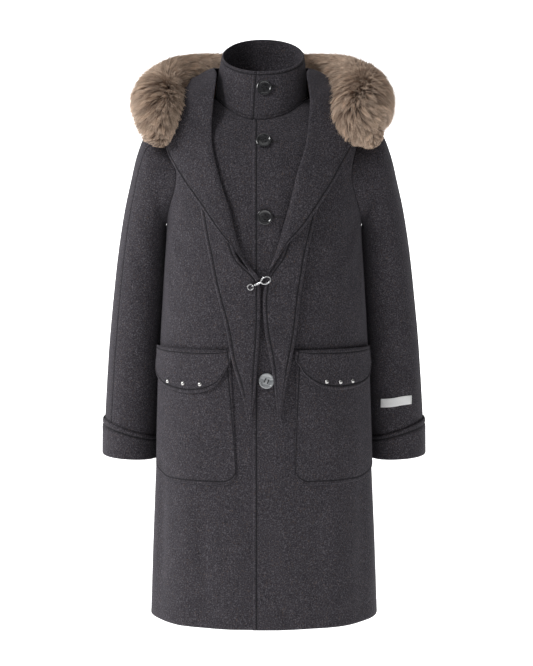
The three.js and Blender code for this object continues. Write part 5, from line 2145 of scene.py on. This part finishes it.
SLEEVE_FOLDS = {
    Side.RIGHT: rows_of(
        Fold,
        (206, 80, 205, 300, 20, 4.5),
        (160, 118, 104, 214, 15, 1.2),
        (160, 150, 128, 262, 11, -0.9),
        (78, 236, 150, 318, 16, 1.1),
        (66, 292, 136, 352, 11, -0.8),
        (150, 352, 92, 440, 16, 0.9),
        (58, 446, 130, 508, 15, -0.8),
        (120, 500, 72, 572, 15, 0.8),
        (-30, 170, 8, 420, 22, 0.7),
        (-60, 330, -14, 470, 15, -0.8),
        (330, 220, 262, 306, 18, 1.7),
        (300, 300, 244, 372, 14, -1.4),
        (318, 380, 250, 448, 16, 1.4),
        (282, 460, 236, 540, 15, -1.2),
    ),
    Side.LEFT: rows_of(
        Fold,
        (206, 80, 205, 300, 20, 4.5),
        (160, 110, 98, 196, 15, 1.1),
        (160, 140, 134, 244, 11, -1.0),
        (150, 250, 86, 330, 16, 1.1),
        (140, 300, 70, 372, 11, -0.9),
        (76, 380, 146, 452, 16, 1.0),
        (140, 440, 74, 512, 14, -0.8),
        (60, 520, 118, 566, 15, 0.8),
        (-26, 150, 12, 400, 21, 0.7),
        (-52, 360, -10, 500, 15, -0.8),
        (336, 240, 268, 322, 18, 1.6),
        (306, 320, 240, 390, 14, -1.4),
        (322, 410, 256, 476, 16, 1.4),
    ),
}
HOOD_FOLDS = {
    Side.RIGHT: rows_of(
        Fold,
        (318, 20, 372, 84, 11, 3.0),
        (352, 8, 408, 70, 9, -2.4),
        (440, 30, 520, 66, 12, 3.6),
        (470, 64, 560, 96, 10, -2.8),
        (540, 22, 612, 40, 10, 2.6),
        (250, 30, 300, 96, 13, 1.8),
        (120, 44, 196, 78, 16, -1.2),
    ),
    Side.LEFT: rows_of(
        Fold,
        (310, 26, 366, 88, 11, 2.8),
        (346, 6, 400, 62, 9, -2.2),
        (434, 38, 510, 74, 12, 3.4),
        (482, 58, 566, 88, 10, -3.0),
        (530, 18, 604, 46, 10, 2.4),
        (244, 36, 296, 90, 13, 1.7),
        (128, 40, 190, 82, 16, -1.1),
    ),
}


def write_sizes(packed: tuple[Vector, Vector], shown: tuple[Vector, Vector]) -> None:
    """Writes the box of the solids and the box of the dressed coat as plain numbers."""
    boxes = {"cad": packed, "visual": shown}
    boxes = {name: [[float(v) for v in corner] for corner in box] for name, box in boxes.items()}
    LOG.info("boxes: %s", boxes)


def main() -> None:
    """Builds the studio, the finishes and every piece in order."""
    logging.basicConfig(level=logging.INFO, format="%(name)s: %(message)s")
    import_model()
    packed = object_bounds()
    Studio().build()
    palette = Palette()
    wool = WoolFinish().build(palette)
    fur = FurFinish().build(palette)
    horn = HornFinish("dark_horn", (0.006, 0.006, 0.007), (0.03, 0.03, 0.033)).build(palette)
    grey_horn = HornFinish("grey_horn", (0.16, 0.17, 0.18), (0.42, 0.43, 0.44), 0.2).build(palette)
    studs = MetalFinish("stud_metal", (0.62, 0.61, 0.6), 0.2).build(palette)
    plated = MetalFinish("plated_metal", (0.62, 0.62, 0.63), 0.2).build(palette)
    thread = ThreadFinish("dark_thread", (0.02, 0.018, 0.02), Weave.TWIST).build(palette)
    tape = ThreadFinish("white_tape", (0.95, 0.95, 0.95), Weave.TAPE).build(palette)
    pale_thread = ThreadFinish("pale_thread", (0.5, 0.5, 0.52), Weave.TWIST).build(palette)

    body = CoatBody(wool).build()
    collar = StandCollar(wool)
    collar_pieces = collar.build()
    right, left = (Sleeve(side, SLEEVE_SEAMS[side], wool, SLEEVE_FOLDS[side]) for side in Side)
    sleeves = right.build() + left.build()
    for side in Side:
        HoodEnd(side, wool).build()
    for side in Side:
        HoodHalf(side, wool, HOOD_FOLDS[side]).build()
    PocketSet(Side.RIGHT, wool, studs, 1).build()
    PocketSet(Side.LEFT, wool, studs, 4).build()
    Fastenings(collar, horn, grey_horn, thread).build()
    Clasp(plated).build()
    SleeveLabel(left, tape, pale_thread).build()
    FurEdge(fur, body + sleeves + collar_pieces).build()
    write_sizes(packed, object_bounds())


if __name__ == "__main__":
    main()
